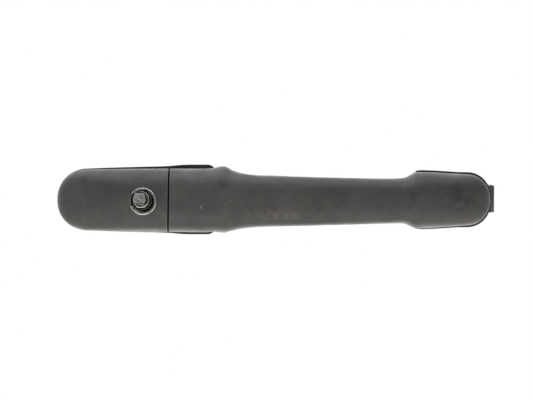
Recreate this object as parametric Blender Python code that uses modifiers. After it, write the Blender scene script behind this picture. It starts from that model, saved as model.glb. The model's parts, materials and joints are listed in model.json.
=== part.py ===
"""Outer pull handle of a car door, right-hand side, with its lock cap and the carrier behind the door skin.

Frame: the door skin's outer face is the plane Y = 0, and the street side is -Y. +X runs forward along the
handle and +Z is up. The origin is on the skin, under the seam between the grip and the lock cap.
Named sizes are in millimetres. MM turns them into Blender's metres where a shape is made.
"""

from itertools import pairwise
from math import asin, cos, pi, radians, sin

import bmesh
import bpy
from mathutils import Matrix, Vector

MM = 0.001
FIT = 0.3  # clearance between pieces that touch in the real handle
SPLIT_GAP = 0.5  # between the two shells of the grip
RUNNING = 0.15  # radial clearance of a pin in its bore

# The outer skin: everything else is placed from these.
SEAM = 0.8  # gap between the grip and the lock cap, centred on X = 0
SEAM_LEAN, LEAN_REACH = 0.017, 25.0  # its slope forward, which fades out over this length on both sides
CAP_TIP, CAP_ROUND = -62.0, -44.8  # the cap's rear tip, and where its round end begins
GRIP_TIP, GRIP_ROUND = 178.4, 165.6
ROUND_POWER = 2.15  # the ends are superellipses, a little squarer than an ellipse
SKIN_WALL = 2.4
BACK_WALL = 1.6
RIM = 2.3  # height of the feet's rims above the door skin
DRAFT = 0.03
PANEL = 2.2  # door skin with its reinforcement, clamped between the gaskets and the carrier
GASKET = 2.0

# The grip's hinge, and how far it is pulled.
HINGE_X, HINGE_Y = 171.0, 11.0
PULL_ANGLE = radians(8)
HINGE_PIN_RADIUS = 2.0
HINGE_BUSH_WALL = 1.0
KNUCKLE_RADIUS = 4.9
HINGE_ARM_HALF = 4.6
NOSE_HALF = 7.6
NOSE_X = 181.3

# The pull arm with the hook that draws the bell crank.
ARM_X0, ARM_X1, ARM_HALF = 3.6, 8.6, 4.5
HOOK_X1, HOOK_FACE_Y, HOOK_BACK_Y = 16.6, 37.8, 42.0

# The bell crank turns about a vertical pin. Its angles are counted from +X, at rest.
FINGER_X, FINGER_RADIUS, FINGER_TIP = 13.8, 26.0, 2.5
FINGER_GAP = 0.6
FINGER_TRAVEL = (FINGER_X - HINGE_X) * -sin(PULL_ANGLE)
FINGER_SWING = asin(FINGER_TRAVEL / 2 / FINGER_RADIUS)
LEVER_X = FINGER_X + FINGER_RADIUS * cos(FINGER_SWING)
LEVER_Y = HOOK_FACE_Y - FINGER_TIP - FINGER_GAP - FINGER_TRAVEL / 2
LEVER_PIN_RADIUS = 2.4
LEVER_BUSH_WALL = 1.1
HUB_RADIUS, HUB_HALF = 5.8, 8.5
LEVER_ARM_HALF = 3.3
CABLE_RADIUS = 20.0
WEIGHT_RADIUS, WEIGHT_ANGLE, WEIGHT_SIZE = 14.0, radians(8), 5.0
WEB_HALF, SLUG_END = 1.6, 7.4  # the arm inside the counterweight, and how far the slugs reach
RIVET_HOLE = 1.75

# The carrier behind the skin.
CHEEK_IN, CHEEK_OUT = 9.0, 11.6
BAY_X1 = 67.5
BAY_Y1 = 46.0
BEAM_Y0, BEAM_Y1, BEAM_HALF = 20.0, 30.0, 9.4
CABLE_Y = LEVER_Y + CABLE_RADIUS * (1 + cos(FINGER_SWING)) / 2
CLIP_RADIUS = 5.0

# The lock: its spindle leans up and to the rear, and stands a little off the middle of its hole.
HOLE_X, HOLE_RADIUS = -14.0, 7.0
LOCK_POINT = Vector((HOLE_X - 1.3, -23.5, 1.2))
LOCK_AXIS = Vector((0.12, 1, -0.18)).normalized()  # inward
SPINDLE_RADIUS = 3.5
TANG_HALF = 2.6
LOCK_BORE = 5.0

CAP_SCREW_Y = 12.5
LUG_TIP = 14.3  # the fixing lug runs up into the cap's wall


def profile(points):
    """A smooth function through (x, value) points that makes no overshoot between them."""
    xs, values = zip(*points)
    slopes = [(b - a) / (d - c) for (a, b), (c, d) in zip(pairwise(values), pairwise(xs))]
    bends = [slopes[0], *(2 * a * b / (a + b) if a * b > 0 else 0.0 for a, b in pairwise(slopes)), slopes[-1]]

    def value(x):
        x = min(max(x, xs[0]), xs[-1])
        i = max(k for k in range(len(xs) - 1) if xs[k] <= x)
        width = xs[i + 1] - xs[i]
        t = (x - xs[i]) / width
        return (
            values[i] * (1 + 2 * t) * (1 - t) ** 2
            + values[i + 1] * t * t * (3 - 2 * t)
            + width * t * (1 - t) * (bends[i] * (1 - t) - bends[i + 1] * t)
        )

    return value


# Along X, over the lock cap and the grip: half-heights, and heights above the door skin. middle is how far
# each section sits above Z = 0.
half_height = profile([
    (-62, 16.5), (-42, 17.0), (-21, 17.4), (0, 17.5), (24, 17.6), (30.5, 18.35), (35, 16.75), (40, 15.35),
    (50, 14.2), (72, 13.55), (105, 12.7), (124, 12.35), (129.5, 12.55), (133.5, 14.1), (137, 15.6),
    (146, 15.35), (160, 14.5), (178.5, 13.5),
])  # fmt: skip
crown = profile([
    (-62, 12.8), (-42, 17.8), (-30, 20.8), (-14, 23.5), (0, 25.0), (15, 26.5), (30, 28.6), (45, 30.8),
    (60, 32.2), (80, 33.0), (100, 32.6), (120, 30.8), (132, 28.7), (140, 26.8), (150, 23.8), (160.5, 19.8),
    (178.5, 11.8),
])  # fmt: skip
widest = profile([
    (-62, 5.0), (-42, 8.0), (0, 11.0), (15, 12.0), (30, 15.0), (45, 21.5), (60, 24.0), (80, 25.0),
    (100, 24.6), (120, 22.0), (132, 17.0), (140, 12.5), (150, 10.0), (165, 7.5), (178.5, 5.5),
])  # fmt: skip
rim_height = profile([
    (-62, RIM), (26.5, RIM), (28, 7.0), (30, 11.5), (33, 14.5), (38, 17.3), (45, 20.9), (60, 23.4),
    (80, 24.4), (100, 24.0), (120, 21.4), (127, 18.2), (131, 14.8), (134, 10.0), (136, 5.0), (137.5, RIM),
    (170, RIM), (173, RIM + 0.45), (178.5, RIM + 1.2),
])  # fmt: skip
back = profile([
    (31, 5.0), (36, 9.5), (42, 13.0), (50, 15.5), (60, 16.8), (80, 17.2), (100, 16.6), (115, 15.0),
    (124, 12.0), (129, 9.0), (133, 5.0),
])  # fmt: skip


def end_round(x):
    """1 along the handle, falling to 0 over the round end at each tip."""
    for start, tip in ((CAP_ROUND, CAP_TIP), (GRIP_ROUND, GRIP_TIP)):
        share = (x - start) / (tip - start)
        if share > 0:
            return max(0.0, 1 - min(share, 1) ** ROUND_POWER) ** (1 / ROUND_POWER)
    return 1.0


def spread(start, end, count):
    return [start + (end - start) * k / count for k in range(count + 1)]


def round_stations(start, tip, count):
    """Stations that close up towards a round end's tip."""
    return [start + (tip - start) * sin(pi / 2 * k / count) for k in range(count + 1)]


def arc_angles(count, crowding=0.6):
    """Angles from 0 to pi, closer together near both ends, where a superellipse turns fast."""
    return [pi * (k / count - crowding * sin(2 * pi * k / count) / (2 * pi)) for k in range(count + 1)]


# ---- scene helpers ----


def clear_scene():
    for obj in list(bpy.data.objects):
        bpy.data.objects.remove(obj, do_unlink=True)


def new_collection(name):
    made = bpy.data.collections.new(name)
    bpy.context.scene.collection.children.link(made)
    return made


def new_material(name, colour, roughness, metallic=0.0):
    made = bpy.data.materials.new(name)
    made.use_nodes = True
    shader = made.node_tree.nodes["Principled BSDF"]
    shader.inputs["Base Color"].default_value = (*colour, 1.0)
    shader.inputs["Roughness"].default_value = roughness
    shader.inputs["Metallic"].default_value = metallic
    return made


clear_scene()
PARTS = new_collection("car_door_handle")
HELPERS = new_collection("cutters")
TEXTURED = new_material("grained_plastic", (0.062, 0.062, 0.060), 0.55)
MOULDED = new_material("glass_filled_nylon", (0.030, 0.030, 0.031), 0.42)
RUBBER = new_material("rubber", (0.018, 0.018, 0.018), 0.75)
ZINC = new_material("die_cast_zinc", (0.46, 0.46, 0.45), 0.38, 1.0)
STEEL = new_material("plated_steel", (0.58, 0.57, 0.53), 0.28, 1.0)
BRIGHT = new_material("bright_ring", (0.78, 0.78, 0.76), 0.16, 1.0)
ACETAL = new_material("acetal", (0.62, 0.60, 0.54), 0.40)


def add_object(name, data, material=None):
    """A part if it has a material, and otherwise a helper that is only cut or joined."""
    obj = bpy.data.objects.new(name, data)
    (PARTS if material else HELPERS).objects.link(obj)
    if material:
        data.materials.append(material)
    else:
        obj.hide_render = True
        obj.display_type = "WIRE"
    return obj


def mesh_object(name, bm, material=None):
    mesh = bpy.data.meshes.new(name)
    bm.to_mesh(mesh)
    bm.free()
    return add_object(name, mesh, material)


def smooth(obj, angle=35):
    obj.data.shade_smooth()
    obj.data.set_sharp_from_angle(angle=radians(angle))
    return obj


def box(name, low, high, material=None, bevel=0.0):
    bm = bmesh.new()
    bmesh.ops.create_cube(bm, size=1)
    size = [b - a for a, b in zip(low, high)]
    bmesh.ops.scale(bm, vec=[s * MM for s in size], verts=bm.verts)
    obj = mesh_object(name, bm, material)
    obj.location = [(a + b) / 2 * MM for a, b in zip(low, high)]
    if bevel:
        add_bevel(obj, bevel)
    return obj


def add_bevel(obj, width, segments=2):
    rounding = obj.modifiers.new("rounded_edges", "BEVEL")
    rounding.width = width * MM
    rounding.segments = segments
    rounding.limit_method = "ANGLE"
    rounding.angle_limit = radians(40)
    return obj


def cylinder(name, radius, start, end, material=None, segments=24, end_radius=None):
    start, end = Vector(start), Vector(end)
    bm = bmesh.new()
    bmesh.ops.create_cone(
        bm,
        cap_ends=True,
        segments=segments,
        radius1=radius * MM,
        radius2=(radius if end_radius is None else end_radius) * MM,
        depth=(end - start).length * MM,
    )
    obj = mesh_object(name, bm, material)
    obj.rotation_mode = "QUATERNION"
    obj.rotation_quaternion = (end - start).to_track_quat("Z", "Y")
    obj.location = (start + end) / 2 * MM
    return smooth(obj)


def turned(name, points, material=None, steps=24):
    """A (radius, height) outline, given down its outer side, turned about the object's own Z."""
    bm = bmesh.new()
    verts = [bm.verts.new((r * MM, 0, z * MM)) for r, z in points]
    closed = all(r > 0 for r, _ in points)
    for a, b in pairwise([*verts, verts[0]] if closed else verts):
        bm.edges.new((a, b))
    obj = mesh_object(name, bm, material)
    screw = obj.modifiers.new("turn", "SCREW")
    screw.steps = screw.render_steps = steps
    screw.use_merge_vertices = True
    screw.merge_threshold = 0.00001
    return obj


def flat_outline(name, outlines, half_thickness, material=None):
    """A flat plate in the object's own XY plane. Outlines inside the first one are holes."""
    curve = bpy.data.curves.new(name, "CURVE")
    curve.dimensions = "2D"
    curve.fill_mode = "BOTH"
    curve.extrude = half_thickness * MM
    for points in outlines:
        spline = curve.splines.new("POLY")
        spline.points.add(len(points) - 1)
        for target, (u, v) in zip(spline.points, points):
            target.co = (u * MM, v * MM, 0, 1)
        spline.use_cyclic_u = True
    return add_object(name, curve, material)


def as_mesh(obj):
    """The same object as one welded mesh, with its modifiers applied."""
    bpy.context.view_layer.update()
    graph = bpy.context.evaluated_depsgraph_get()
    mesh = bpy.data.meshes.new_from_object(obj.evaluated_get(graph))
    bm = bmesh.new()
    bm.from_mesh(mesh)
    bmesh.ops.remove_doubles(bm, verts=bm.verts, dist=1e-6)
    bmesh.ops.recalc_face_normals(bm, faces=bm.faces)
    bm.to_mesh(mesh)
    bm.free()
    name, matrix, part = obj.name, obj.matrix_world.copy(), not obj.hide_render
    material = obj.data.materials[0] if obj.data.materials else None
    bpy.data.objects.remove(obj)
    mesh.materials.clear()
    made = add_object(name, mesh, material if part else None)
    made.matrix_world = matrix
    return made


def plate_on_side(name, outlines, z0, z1, material=None):
    """A plate whose (x, y) outline is seen from above, between two heights."""
    obj = flat_outline(name, outlines, (z1 - z0) / 2, material)
    obj.location.z = (z0 + z1) / 2 * MM
    return as_mesh(obj)


def plate_on_skin(name, outlines, y0, y1, material=None):
    """A plate parallel to the door skin, with an (x, z) outline, between two depths."""
    obj = flat_outline(name, outlines, (y1 - y0) / 2, material)
    obj.rotation_euler.x = pi / 2
    obj.location.y = (y0 + y1) / 2 * MM
    return as_mesh(obj)


def combine(target, operation, others):
    for other in others:
        boolean = target.modifiers.new(f"{operation.lower()}_{other.name}", "BOOLEAN")
        boolean.operation = operation
        boolean.object = other
        boolean.solver = "EXACT"
    return target


def join(target, *others):
    return combine(target, "UNION", others)


def cut(target, *others):
    return combine(target, "DIFFERENCE", others)


def circle(x, y, radius, count=24, start=0.0, sweep=2 * pi):
    closed = sweep >= 2 * pi
    steps = count if closed else count + 1
    angles = [start + sweep * k / count for k in range(steps)]
    return [(x + radius * cos(angle), y + radius * sin(angle)) for angle in angles]


def rounded(points, radius, count=4):
    """A polygon with its corners turned into arcs, by a quadratic curve through each corner."""
    made = []
    for k, corner in enumerate(points):
        corner = Vector(corner)
        before, after = Vector(points[k - 1]), Vector(points[(k + 1) % len(points)])
        reach = [min(radius, (other - corner).length * 0.45) for other in (before, after)]
        a = corner + (before - corner).normalized() * reach[0]
        b = corner + (after - corner).normalized() * reach[1]
        for step in range(count + 1):
            t = step / count
            made.append(tuple(a * (1 - t) ** 2 + corner * 2 * t * (1 - t) + b * t * t))
    return made


def rectangle(x0, y0, x1, y1):
    return [(x0, y0), (x1, y0), (x1, y1), (x0, y1)]


def tube(name, points, radius, material, sides=2):
    """A round wire through points."""
    curve = bpy.data.curves.new(name, "CURVE")
    curve.dimensions = "3D"
    curve.bevel_depth = radius * MM
    curve.bevel_resolution = sides
    curve.use_fill_caps = True
    spline = curve.splines.new("POLY")
    spline.points.add(len(points) - 1)
    for target, point in zip(spline.points, points):
        target.co = (*(Vector(point) * MM), 1)
    return add_object(name, curve, material)


# ---- the skin of the grip and the lock cap ----


middle = profile([(-62, 0), (20, 0), (27, 0.5), (31, 0.65), (36, 0.15), (41, 0), (178.5, 0)])


def skin_point(x, z, height):
    """A point of the section at x, in metres. The sections near the seam lean as it does."""
    lean = SEAM_LEAN * max(0.0, 1 - abs(x) / LEAN_REACH)
    return Vector((x + lean * z, -height, z + middle(x))) * MM


def front_section(x, power=2.8, count=12):
    """Bottom rim, over the crown, to the top rim, as points of the outer skin."""
    scale = end_round(x)
    half = half_height(x) * scale
    wide, rim = widest(x), rim_height(x)
    rise = (crown(x) - wide) * scale
    foot = half - DRAFT * (wide - rim) * scale
    points = [(-foot, rim)]
    for angle in arc_angles(count):
        side = -half * abs(cos(angle)) ** (2 / power) * (1 if cos(angle) > 0 else -1)
        points.append((side, wide + rise * abs(sin(angle)) ** (2 / power)))
    points.append((foot, rim))
    return [skin_point(x, z, height) for z, height in points]


def back_section(x, power=2.5, count=10):
    """The finger side of the grip, from its bottom rim to its top rim, just under the front skin's rim."""
    start = rim_height(x) - SPLIT_GAP
    half = half_height(x) - DRAFT * (widest(x) - rim_height(x))
    points = []
    for angle in arc_angles(count):
        side = -half * abs(cos(angle)) ** (2 / power) * (1 if cos(angle) > 0 else -1)
        points.append((side, start - (start - back(x)) * abs(sin(angle)) ** (2 / power)))
    return [skin_point(x, z, height) for z, height in points]


def lofted_skin(name, stations, section, wall, material, outward, closed_end=None):
    """An open skin through cross-sections, with its wall inside. outward is 1 where it faces the street."""
    bm = bmesh.new()
    rows = [[bm.verts.new(point) for point in section(x)] for x in stations]
    for near, far in pairwise(rows):
        for k in range(len(near) - 1):
            corners = (near[k], far[k], far[k + 1], near[k + 1])
            bm.faces.new(corners[::outward])
    if closed_end == "first":
        bm.faces.new(rows[0])
    if closed_end == "last":
        bm.faces.new(rows[-1][::-1])
    bmesh.ops.remove_doubles(bm, verts=bm.verts, dist=1e-6)
    obj = mesh_object(name, bm, material)
    solid = obj.modifiers.new("wall", "SOLIDIFY")
    solid.thickness = wall * MM
    solid.offset = -1
    solid.use_even_offset = True
    solid.use_quality_normals = True
    return smooth(obj)


def screw_boss(name, x, height, top):
    """A boss under the grip's skin, from the frame's plate up into the skin's wall."""
    return cylinder(name, 2.8, (x, -height, 0), (x, -top, 0), segments=16)


REAR_PLATE, FRONT_PLATE = (7.5, 10.5), (5.5, 8.5)
REAR_SCREW_X, FRONT_SCREW_X = 22.0, 161.0
BUFFER_X, BUFFER_Z = 14.0, 9.6
BAR = (31, 33.5, 36, 39.5, 45, 54, 67, 82, 97, 111, 121, 126, 129, 131, 133)


def make_grip_cover():
    feet = [SEAM / 2, 13, 26.5, 28.5], [135, 137.5, 144, 152, 159]
    stations = [*feet[0], *BAR, *feet[1], *round_stations(GRIP_ROUND, GRIP_TIP, 7)]
    cover = lofted_skin("grip_cover", stations, front_section, SKIN_WALL, TEXTURED, 1, "first")
    for place, x, plate in (("rear", REAR_SCREW_X, REAR_PLATE), ("front", FRONT_SCREW_X, FRONT_PLATE)):
        top = crown(x) * end_round(x) - 1.2
        join(cover, screw_boss(f"boss_{place}", x, plate[1] + FIT, top))
        cut(cover, cylinder(f"pilot_{place}", 1.3, (x, -plate[0], 0), (x, 3.5 - top, 0), segments=12))
    return cover


def make_grip_back():
    return lofted_skin("grip_back", (32.6, *BAR[1:-1], 131.6), back_section, BACK_WALL, MOULDED, -1)


def make_grip_frame():
    """The strong core: a beam along the grip, a plate in each foot, the hinge arm and the pull arm."""
    stations = [27, *BAR, 137, 144]
    foot = profile([(27, REAR_PLATE[0] + 0.4), (31, 9.0), (133, 9.0), (144, FRONT_PLATE[0] + 0.4)])

    def under(x):
        return foot(x) if not 31 < x < 133 else back(x) + BACK_WALL + 1.5

    lower = [(x, -under(x)) for x in stations]
    upper = [(x, -under(x) - 5.0) for x in reversed(stations)]
    frame = plate_on_side("grip_frame", [lower + upper], -6, 6, MOULDED)
    rear = box("frame_rear_plate", (3.4, -REAR_PLATE[1], -13), (29.5, -REAR_PLATE[0], 13))
    front = box("frame_front_plate", (139, -FRONT_PLATE[1], -9.5), (164.5, -FRONT_PLATE[0], 9.5))
    pull_arm = plate_on_side(
        "pull_arm",
        [rounded([(ARM_X0, -9), (ARM_X1, -9), (ARM_X1, HOOK_FACE_Y), (HOOK_X1, HOOK_FACE_Y),
                  (HOOK_X1, HOOK_BACK_Y), (ARM_X0, HOOK_BACK_Y)], 1.2, 3)],
        -ARM_HALF, ARM_HALF,
    )  # fmt: skip
    knuckle_ends = (HINGE_X, HINGE_Y, -HINGE_ARM_HALF), (HINGE_X, HINGE_Y, HINGE_ARM_HALF)
    knuckle = cylinder("knuckle", KNUCKLE_RADIUS, *knuckle_ends, segments=32)
    hinge_arm = plate_on_side(
        "hinge_arm",
        [[(149, -7), (157, -7), (157, HINGE_Y - KNUCKLE_RADIUS), (HINGE_X, HINGE_Y - KNUCKLE_RADIUS + 0.05),
          (HINGE_X, HINGE_Y + KNUCKLE_RADIUS - 0.05), (158, HINGE_Y + 4.5), (149, HINGE_Y)]],
        -HINGE_ARM_HALF + 0.05, HINGE_ARM_HALF - 0.05,
    )  # fmt: skip
    join(frame, rear, front, pull_arm, hinge_arm, knuckle)
    bore = HINGE_PIN_RADIUS + RUNNING + HINGE_BUSH_WALL + RUNNING
    cut(frame, cylinder("knuckle_bore", bore, (HINGE_X, HINGE_Y, -9), (HINGE_X, HINGE_Y, 9)))
    for place, x in (("rear", REAR_SCREW_X), ("front", FRONT_SCREW_X)):
        cut(frame, cylinder(f"screw_hole_{place}", 1.6, (x, 0, 0), (x, -13, 0), segments=16))
    cut(frame, cylinder("buffer_hole", 2.1, (BUFFER_X, 0, BUFFER_Z), (BUFFER_X, -13, BUFFER_Z), segments=16))
    return frame


def pan_screw(name, head, axis, length, radius, head_radius, head_height, material=STEEL):
    """A screw with a hexagon socket. Its head's underside is at head, and its shank points along axis."""
    points = [
        (0, head_height), (head_radius * 0.75, head_height), (head_radius, head_height * 0.55),
        (head_radius, 0), (radius, 0), (radius, -length + radius), (radius * 0.4, -length), (0, -length),
    ]  # fmt: skip
    screw = turned(name, points, material, steps=20)
    socket_ends = (0, 0, head_height * 0.35), (0, 0, head_height + 1)
    socket = cylinder(f"{name}_socket", head_radius * 0.42, *socket_ends, segments=6)
    turn = (-Vector(axis)).to_track_quat("Z", "Y").to_matrix().to_4x4()
    place = Matrix.Translation(Vector(head) * MM) @ turn
    screw.matrix_world = place
    socket.matrix_world = place @ socket.matrix_basis
    return smooth(cut(screw, socket))


def make_grip_fittings():
    for place, x, plate in (("rear", REAR_SCREW_X, REAR_PLATE), ("front", FRONT_SCREW_X, FRONT_PLATE)):
        pan_screw(f"grip_screw_{place}", (x, FIT / 2 - plate[0], 0), (0, -1, 0), 9.5, 1.15, 2.7, 1.7)
    inner = HINGE_PIN_RADIUS + RUNNING
    outer = inner + HINGE_BUSH_WALL
    half = HINGE_ARM_HALF - 0.1
    bush = turned("hinge_bush", [(outer, half), (outer, -half), (inner, -half), (inner, half)], ACETAL, 24)
    bush.location = Vector((HINGE_X, HINGE_Y, 0)) * MM
    smooth(bush)
    low, seat = GASKET + FIT, REAR_PLATE[0] - FIT / 2
    top = REAR_PLATE[1] + FIT / 2
    buffer = turned(
        "grip_buffer",
        [(0, top + 1.6), (1.4, top + 1.6), (2.9, top), (1.9, top), (1.9, seat), (3.6, seat), (3.9, low + 1.2),
         (2.4, low), (0, low)],
        RUBBER, 20,
    )  # fmt: skip
    buffer.rotation_euler.x = pi / 2
    buffer.location = Vector((BUFFER_X, 0, BUFFER_Z)) * MM
    smooth(buffer)


def make_lock_cap():
    stations = [*reversed(round_stations(CAP_ROUND, CAP_TIP, 7)), -34, -24, -14, -SEAM / 2]
    cap = lofted_skin("lock_cap", stations, front_section, SKIN_WALL, TEXTURED, 1, "last")
    lug = box("cap_lug", (-50, -LUG_TIP, -5), (-46, 17.5, 5))
    hole = cylinder("cap_hole", HOLE_RADIUS, hole_point(8), hole_point(-12), segments=40)
    lug_hole = cylinder("lug_hole", 2.8, (-60, CAP_SCREW_Y, 0), (-40, CAP_SCREW_Y, 0), segments=20)
    return cut(join(cap, lug), hole, lug_hole)


def hole_normal():
    """Outward normal of the cap at the lock hole."""
    slope = (crown(HOLE_X + 2) - crown(HOLE_X - 2)) / 4
    return Vector((-slope, -1, 0)).normalized()


def hole_point(out):
    """A point on the hole's axis, this far outside the cap's surface."""
    return Vector((HOLE_X, -crown(HOLE_X), 0)) + hole_normal() * out


# ---- gaskets ----


def skirt(x0, x1, overhang, count):
    """Half of a gasket's outline, its top edge from x0 to x1, following the skin above it."""
    return [(x, half_height(x) * end_round(x) + overhang(x)) for x in spread(x0, x1, count)]


def both_sides(top):
    return top + [(x, -z) for x, z in reversed(top)]


def make_rear_gasket():
    overhang = profile([
        (-60, 0.2), (-46, 0.35), (-30, 0.5), (-8, 0.85), (0, 1.1), (7, 1.7), (12, 1.85), (26, 1.75),
    ])  # fmt: skip
    tip = [(x, half_height(x) * end_round(x) + 0.3) for x in reversed(round_stations(CAP_ROUND, -60.7, 8))]
    edge = tip + skirt(-38, 22, overhang, 14) + [(24.4, 18.6), (25.5, 16.8)]
    lock = lock_at_depth(-GASKET / 2)
    holes = [
        circle(lock.x, lock.z, 10.0, 32),
        rounded(rectangle(2.0, -6.4, 19.6, 6.4), 2),
        rounded(rectangle(-51.2, -6, -44.8, 6), 1.5),
        circle(REAR_FIXING[0], REAR_FIXING[1], 4.4, 20),
    ]
    return plate_on_skin("rear_gasket", [both_sides(edge), *holes], -GASKET, 0, RUBBER)


def make_front_gasket():
    tip = [(x + 0.7, half_height(x) * end_round(x) + 0.55) for x in round_stations(GRIP_ROUND, 178.2, 8)]
    edge = [(136.8, 14.9), (138.0, 16.1)] + skirt(141, 160, lambda x: 0.6, 4) + tip
    holes = [rounded(rectangle(147.2, -6, 165.5, 6), 2), circle(FRONT_FIXING[0], FRONT_FIXING[1], 3.9, 20)]
    return plate_on_skin("front_gasket", [both_sides(edge), *holes], -GASKET, 0, RUBBER)


# ---- lock: its sizes run inward along its axis, from the cap's surface ----

SPINDLE_FACE, SPINDLE_BACK = -4.6, 49.0
NOSE_FRONT, NOSE_BACK, NOSE_RADIUS = 4.4, 11.0, 5.7
COLLAR_RADIUS, SHOULDER = 8.4, 22.2  # the collar stays outside the door skin
BARREL_RADIUS, BARREL_GROOVE = 7.2, 6.5
SOCKET_RADIUS, SOCKET_BACK = 9.4, 38.0
BORE_BACK, HOUSING_BACK = 36.5, 42.0
CLIP_GROOVE = 2.7  # the spindle's radius where its clip sits
SPRING_RADIUS, SPRING_WIRE, SPRING_FRONT, SPRING_TURNS, SPRING_PITCH = 4.1, 0.42, -0.6, 5.25, 2.1
PADDLE_REACH, PADDLE_HALF, PADDLE_HUB, PADDLE_THICK = 13.0, 2.6, 5.2, 2.4


def lock_at(distance):
    """A point on the lock's axis, this far inward from the cap's surface."""
    return LOCK_POINT + LOCK_AXIS * distance


def lock_at_depth(y):
    return lock_at((y - LOCK_POINT.y) / LOCK_AXIS.y)


def on_lock(obj):
    """Puts an object made along its own Z on the lock's axis. Its Z runs inward, and its X forward."""
    side = LOCK_AXIS.cross(Vector((0, 0, 1))).normalized()
    axes = Matrix((side, LOCK_AXIS.cross(side), LOCK_AXIS)).transposed().to_4x4()
    obj.matrix_world = Matrix.Translation(LOCK_POINT * MM) @ axes @ obj.matrix_basis
    return obj


def lock_cylinder(name, radius, start, end, material=None, segments=32):
    return on_lock(cylinder(name, radius, (0, 0, start), (0, 0, end), material, segments))


def make_lock_housing():
    rear_bore = SPINDLE_RADIUS + RUNNING
    groove_front, groove_back = SOCKET_BACK + 0.4, SOCKET_BACK + 1.6
    housing = turned(
        "lock_housing",
        [(BARREL_RADIUS, HOUSING_BACK), (BARREL_RADIUS, groove_back), (BARREL_GROOVE, groove_back),
         (BARREL_GROOVE, groove_front), (BARREL_RADIUS, groove_front), (BARREL_RADIUS, SHOULDER),
         (COLLAR_RADIUS, SHOULDER), (COLLAR_RADIUS, NOSE_BACK), (NOSE_RADIUS, NOSE_BACK),
         (NOSE_RADIUS, NOSE_FRONT), (LOCK_BORE, NOSE_FRONT), (LOCK_BORE, BORE_BACK), (rear_bore, BORE_BACK),
         (rear_bore, HOUSING_BACK)],
        ZINC,
    )  # fmt: skip
    smooth(on_lock(housing))


def make_spindle():
    """The post: a tang in front for the key barrel, a groove for its clip, and a tang for the paddle."""
    spindle = lock_cylinder("lock_spindle", SPINDLE_RADIUS, SPINDLE_FACE, SPINDLE_BACK, ZINC)
    add_bevel(spindle, 0.5, 1)
    tangs = {"front": (SPINDLE_FACE - 1, 1.5), "rear": (HOUSING_BACK + 1.9, SPINDLE_BACK + 1)}
    for end, (z0, z1) in tangs.items():
        cut(spindle, on_lock(box(f"{end}_flat_low", (-6, -6, z0), (6, -TANG_HALF, z1))))
        cut(spindle, on_lock(box(f"{end}_flat_high", (-6, TANG_HALF, z0), (6, 6, z1))))
    high, low = HOUSING_BACK + 1.3, HOUSING_BACK + 0.3
    groove = turned("clip_groove", [(5, high), (5, low), (CLIP_GROOVE, low), (CLIP_GROOVE, high)], steps=24)
    cut(spindle, on_lock(groove))


def open_ring(inner, outer, half_gap, x=0.0, y=0.0):
    """A retaining ring's outline: a circle with a gap on its +X side."""
    sweep = 2 * pi - 2 * half_gap
    return circle(x, y, outer, 26, half_gap, sweep) + circle(x, y, inner, 26, -half_gap, -sweep)


def make_lock_clips():
    sizes = {
        "housing_circlip": (BARREL_GROOVE + 0.2, COLLAR_RADIUS + 0.2, SOCKET_BACK + 0.6, 0.8),
        "spindle_clip": (CLIP_GROOVE + 0.2, PADDLE_HUB, HOUSING_BACK + 0.45, 0.7),
    }
    for name, (inner, outer, z, thickness) in sizes.items():
        on_lock(plate_on_side(name, [open_ring(inner, outer, 0.7)], z, z + thickness, STEEL))


def make_paddle():
    meet = asin(PADDLE_HALF / PADDLE_HUB)
    outline = circle(0, 0, PADDLE_HUB, 20, meet - pi, 2 * pi - 2 * meet)
    outline += circle(-PADDLE_REACH, 0, PADDLE_HALF, 8, pi / 2, pi)
    radius = SPINDLE_RADIUS + RUNNING
    flat = asin((TANG_HALF + RUNNING) / radius)
    hole = circle(0, 0, radius, 6, -flat, 2 * flat) + circle(0, 0, radius, 6, pi - flat, 2 * flat)
    rod_hole = circle(-PADDLE_REACH, 0, 1.3, 12)
    start = HOUSING_BACK + 2.2
    on_lock(plate_on_side("lock_paddle", [outline, hole, rod_hole], start, start + PADDLE_THICK, STEEL))


def make_spindle_spring():
    count = round(SPRING_TURNS * 11)
    points = []
    for k in range(count + 1):
        turn = SPRING_TURNS * k / count
        angle = -2.2 - 2 * pi * turn
        height = SPRING_FRONT + SPRING_PITCH * turn
        points.append((SPRING_RADIUS * cos(angle), SPRING_RADIUS * sin(angle), height))
    on_lock(tube("spindle_spring", points, SPRING_WIRE, STEEL))


def make_bezel():
    """The bright ring in the cap's hole, with a keyway through its rear side."""
    rim, lip, inner = HOLE_RADIUS + 0.45, HOLE_RADIUS - 0.15, 6.35
    bezel = turned(
        "lock_bezel",
        [(HOLE_RADIUS + 0.1, 0.9), (rim, 0.55), (rim, FIT), (lip, FIT), (lip, -3.4), (inner, -3.4),
         (inner, 0.5), (inner + 0.3, 0.9)],
        BRIGHT, 40,
    )  # fmt: skip
    bezel.rotation_mode = "QUATERNION"
    bezel.rotation_quaternion = hole_normal().to_track_quat("Z", "Y")
    bezel.location = hole_point(0) * MM
    smooth(bezel)
    cut(bezel, box("keyway", (HOLE_X - 11, -30, -2.6), (HOLE_X - 4.8, -18, 4.2)))


# ---- carrier ----

REAR_FIXING = (-38.0, 10.6)
FRONT_FIXING = (142.6, 0.0)
CHEEK_X0 = -0.6
FLANGE_BACK = 5.0
PIN_BOSS = 1.2  # how far the lever pin's boss stands down from the bottom cheek
HINGE_CHEEK_IN = HINGE_ARM_HALF + FIT
NUT_X, NUT_HALF, NUT_THICK = -38.0, 4.0, 3.3


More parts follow.
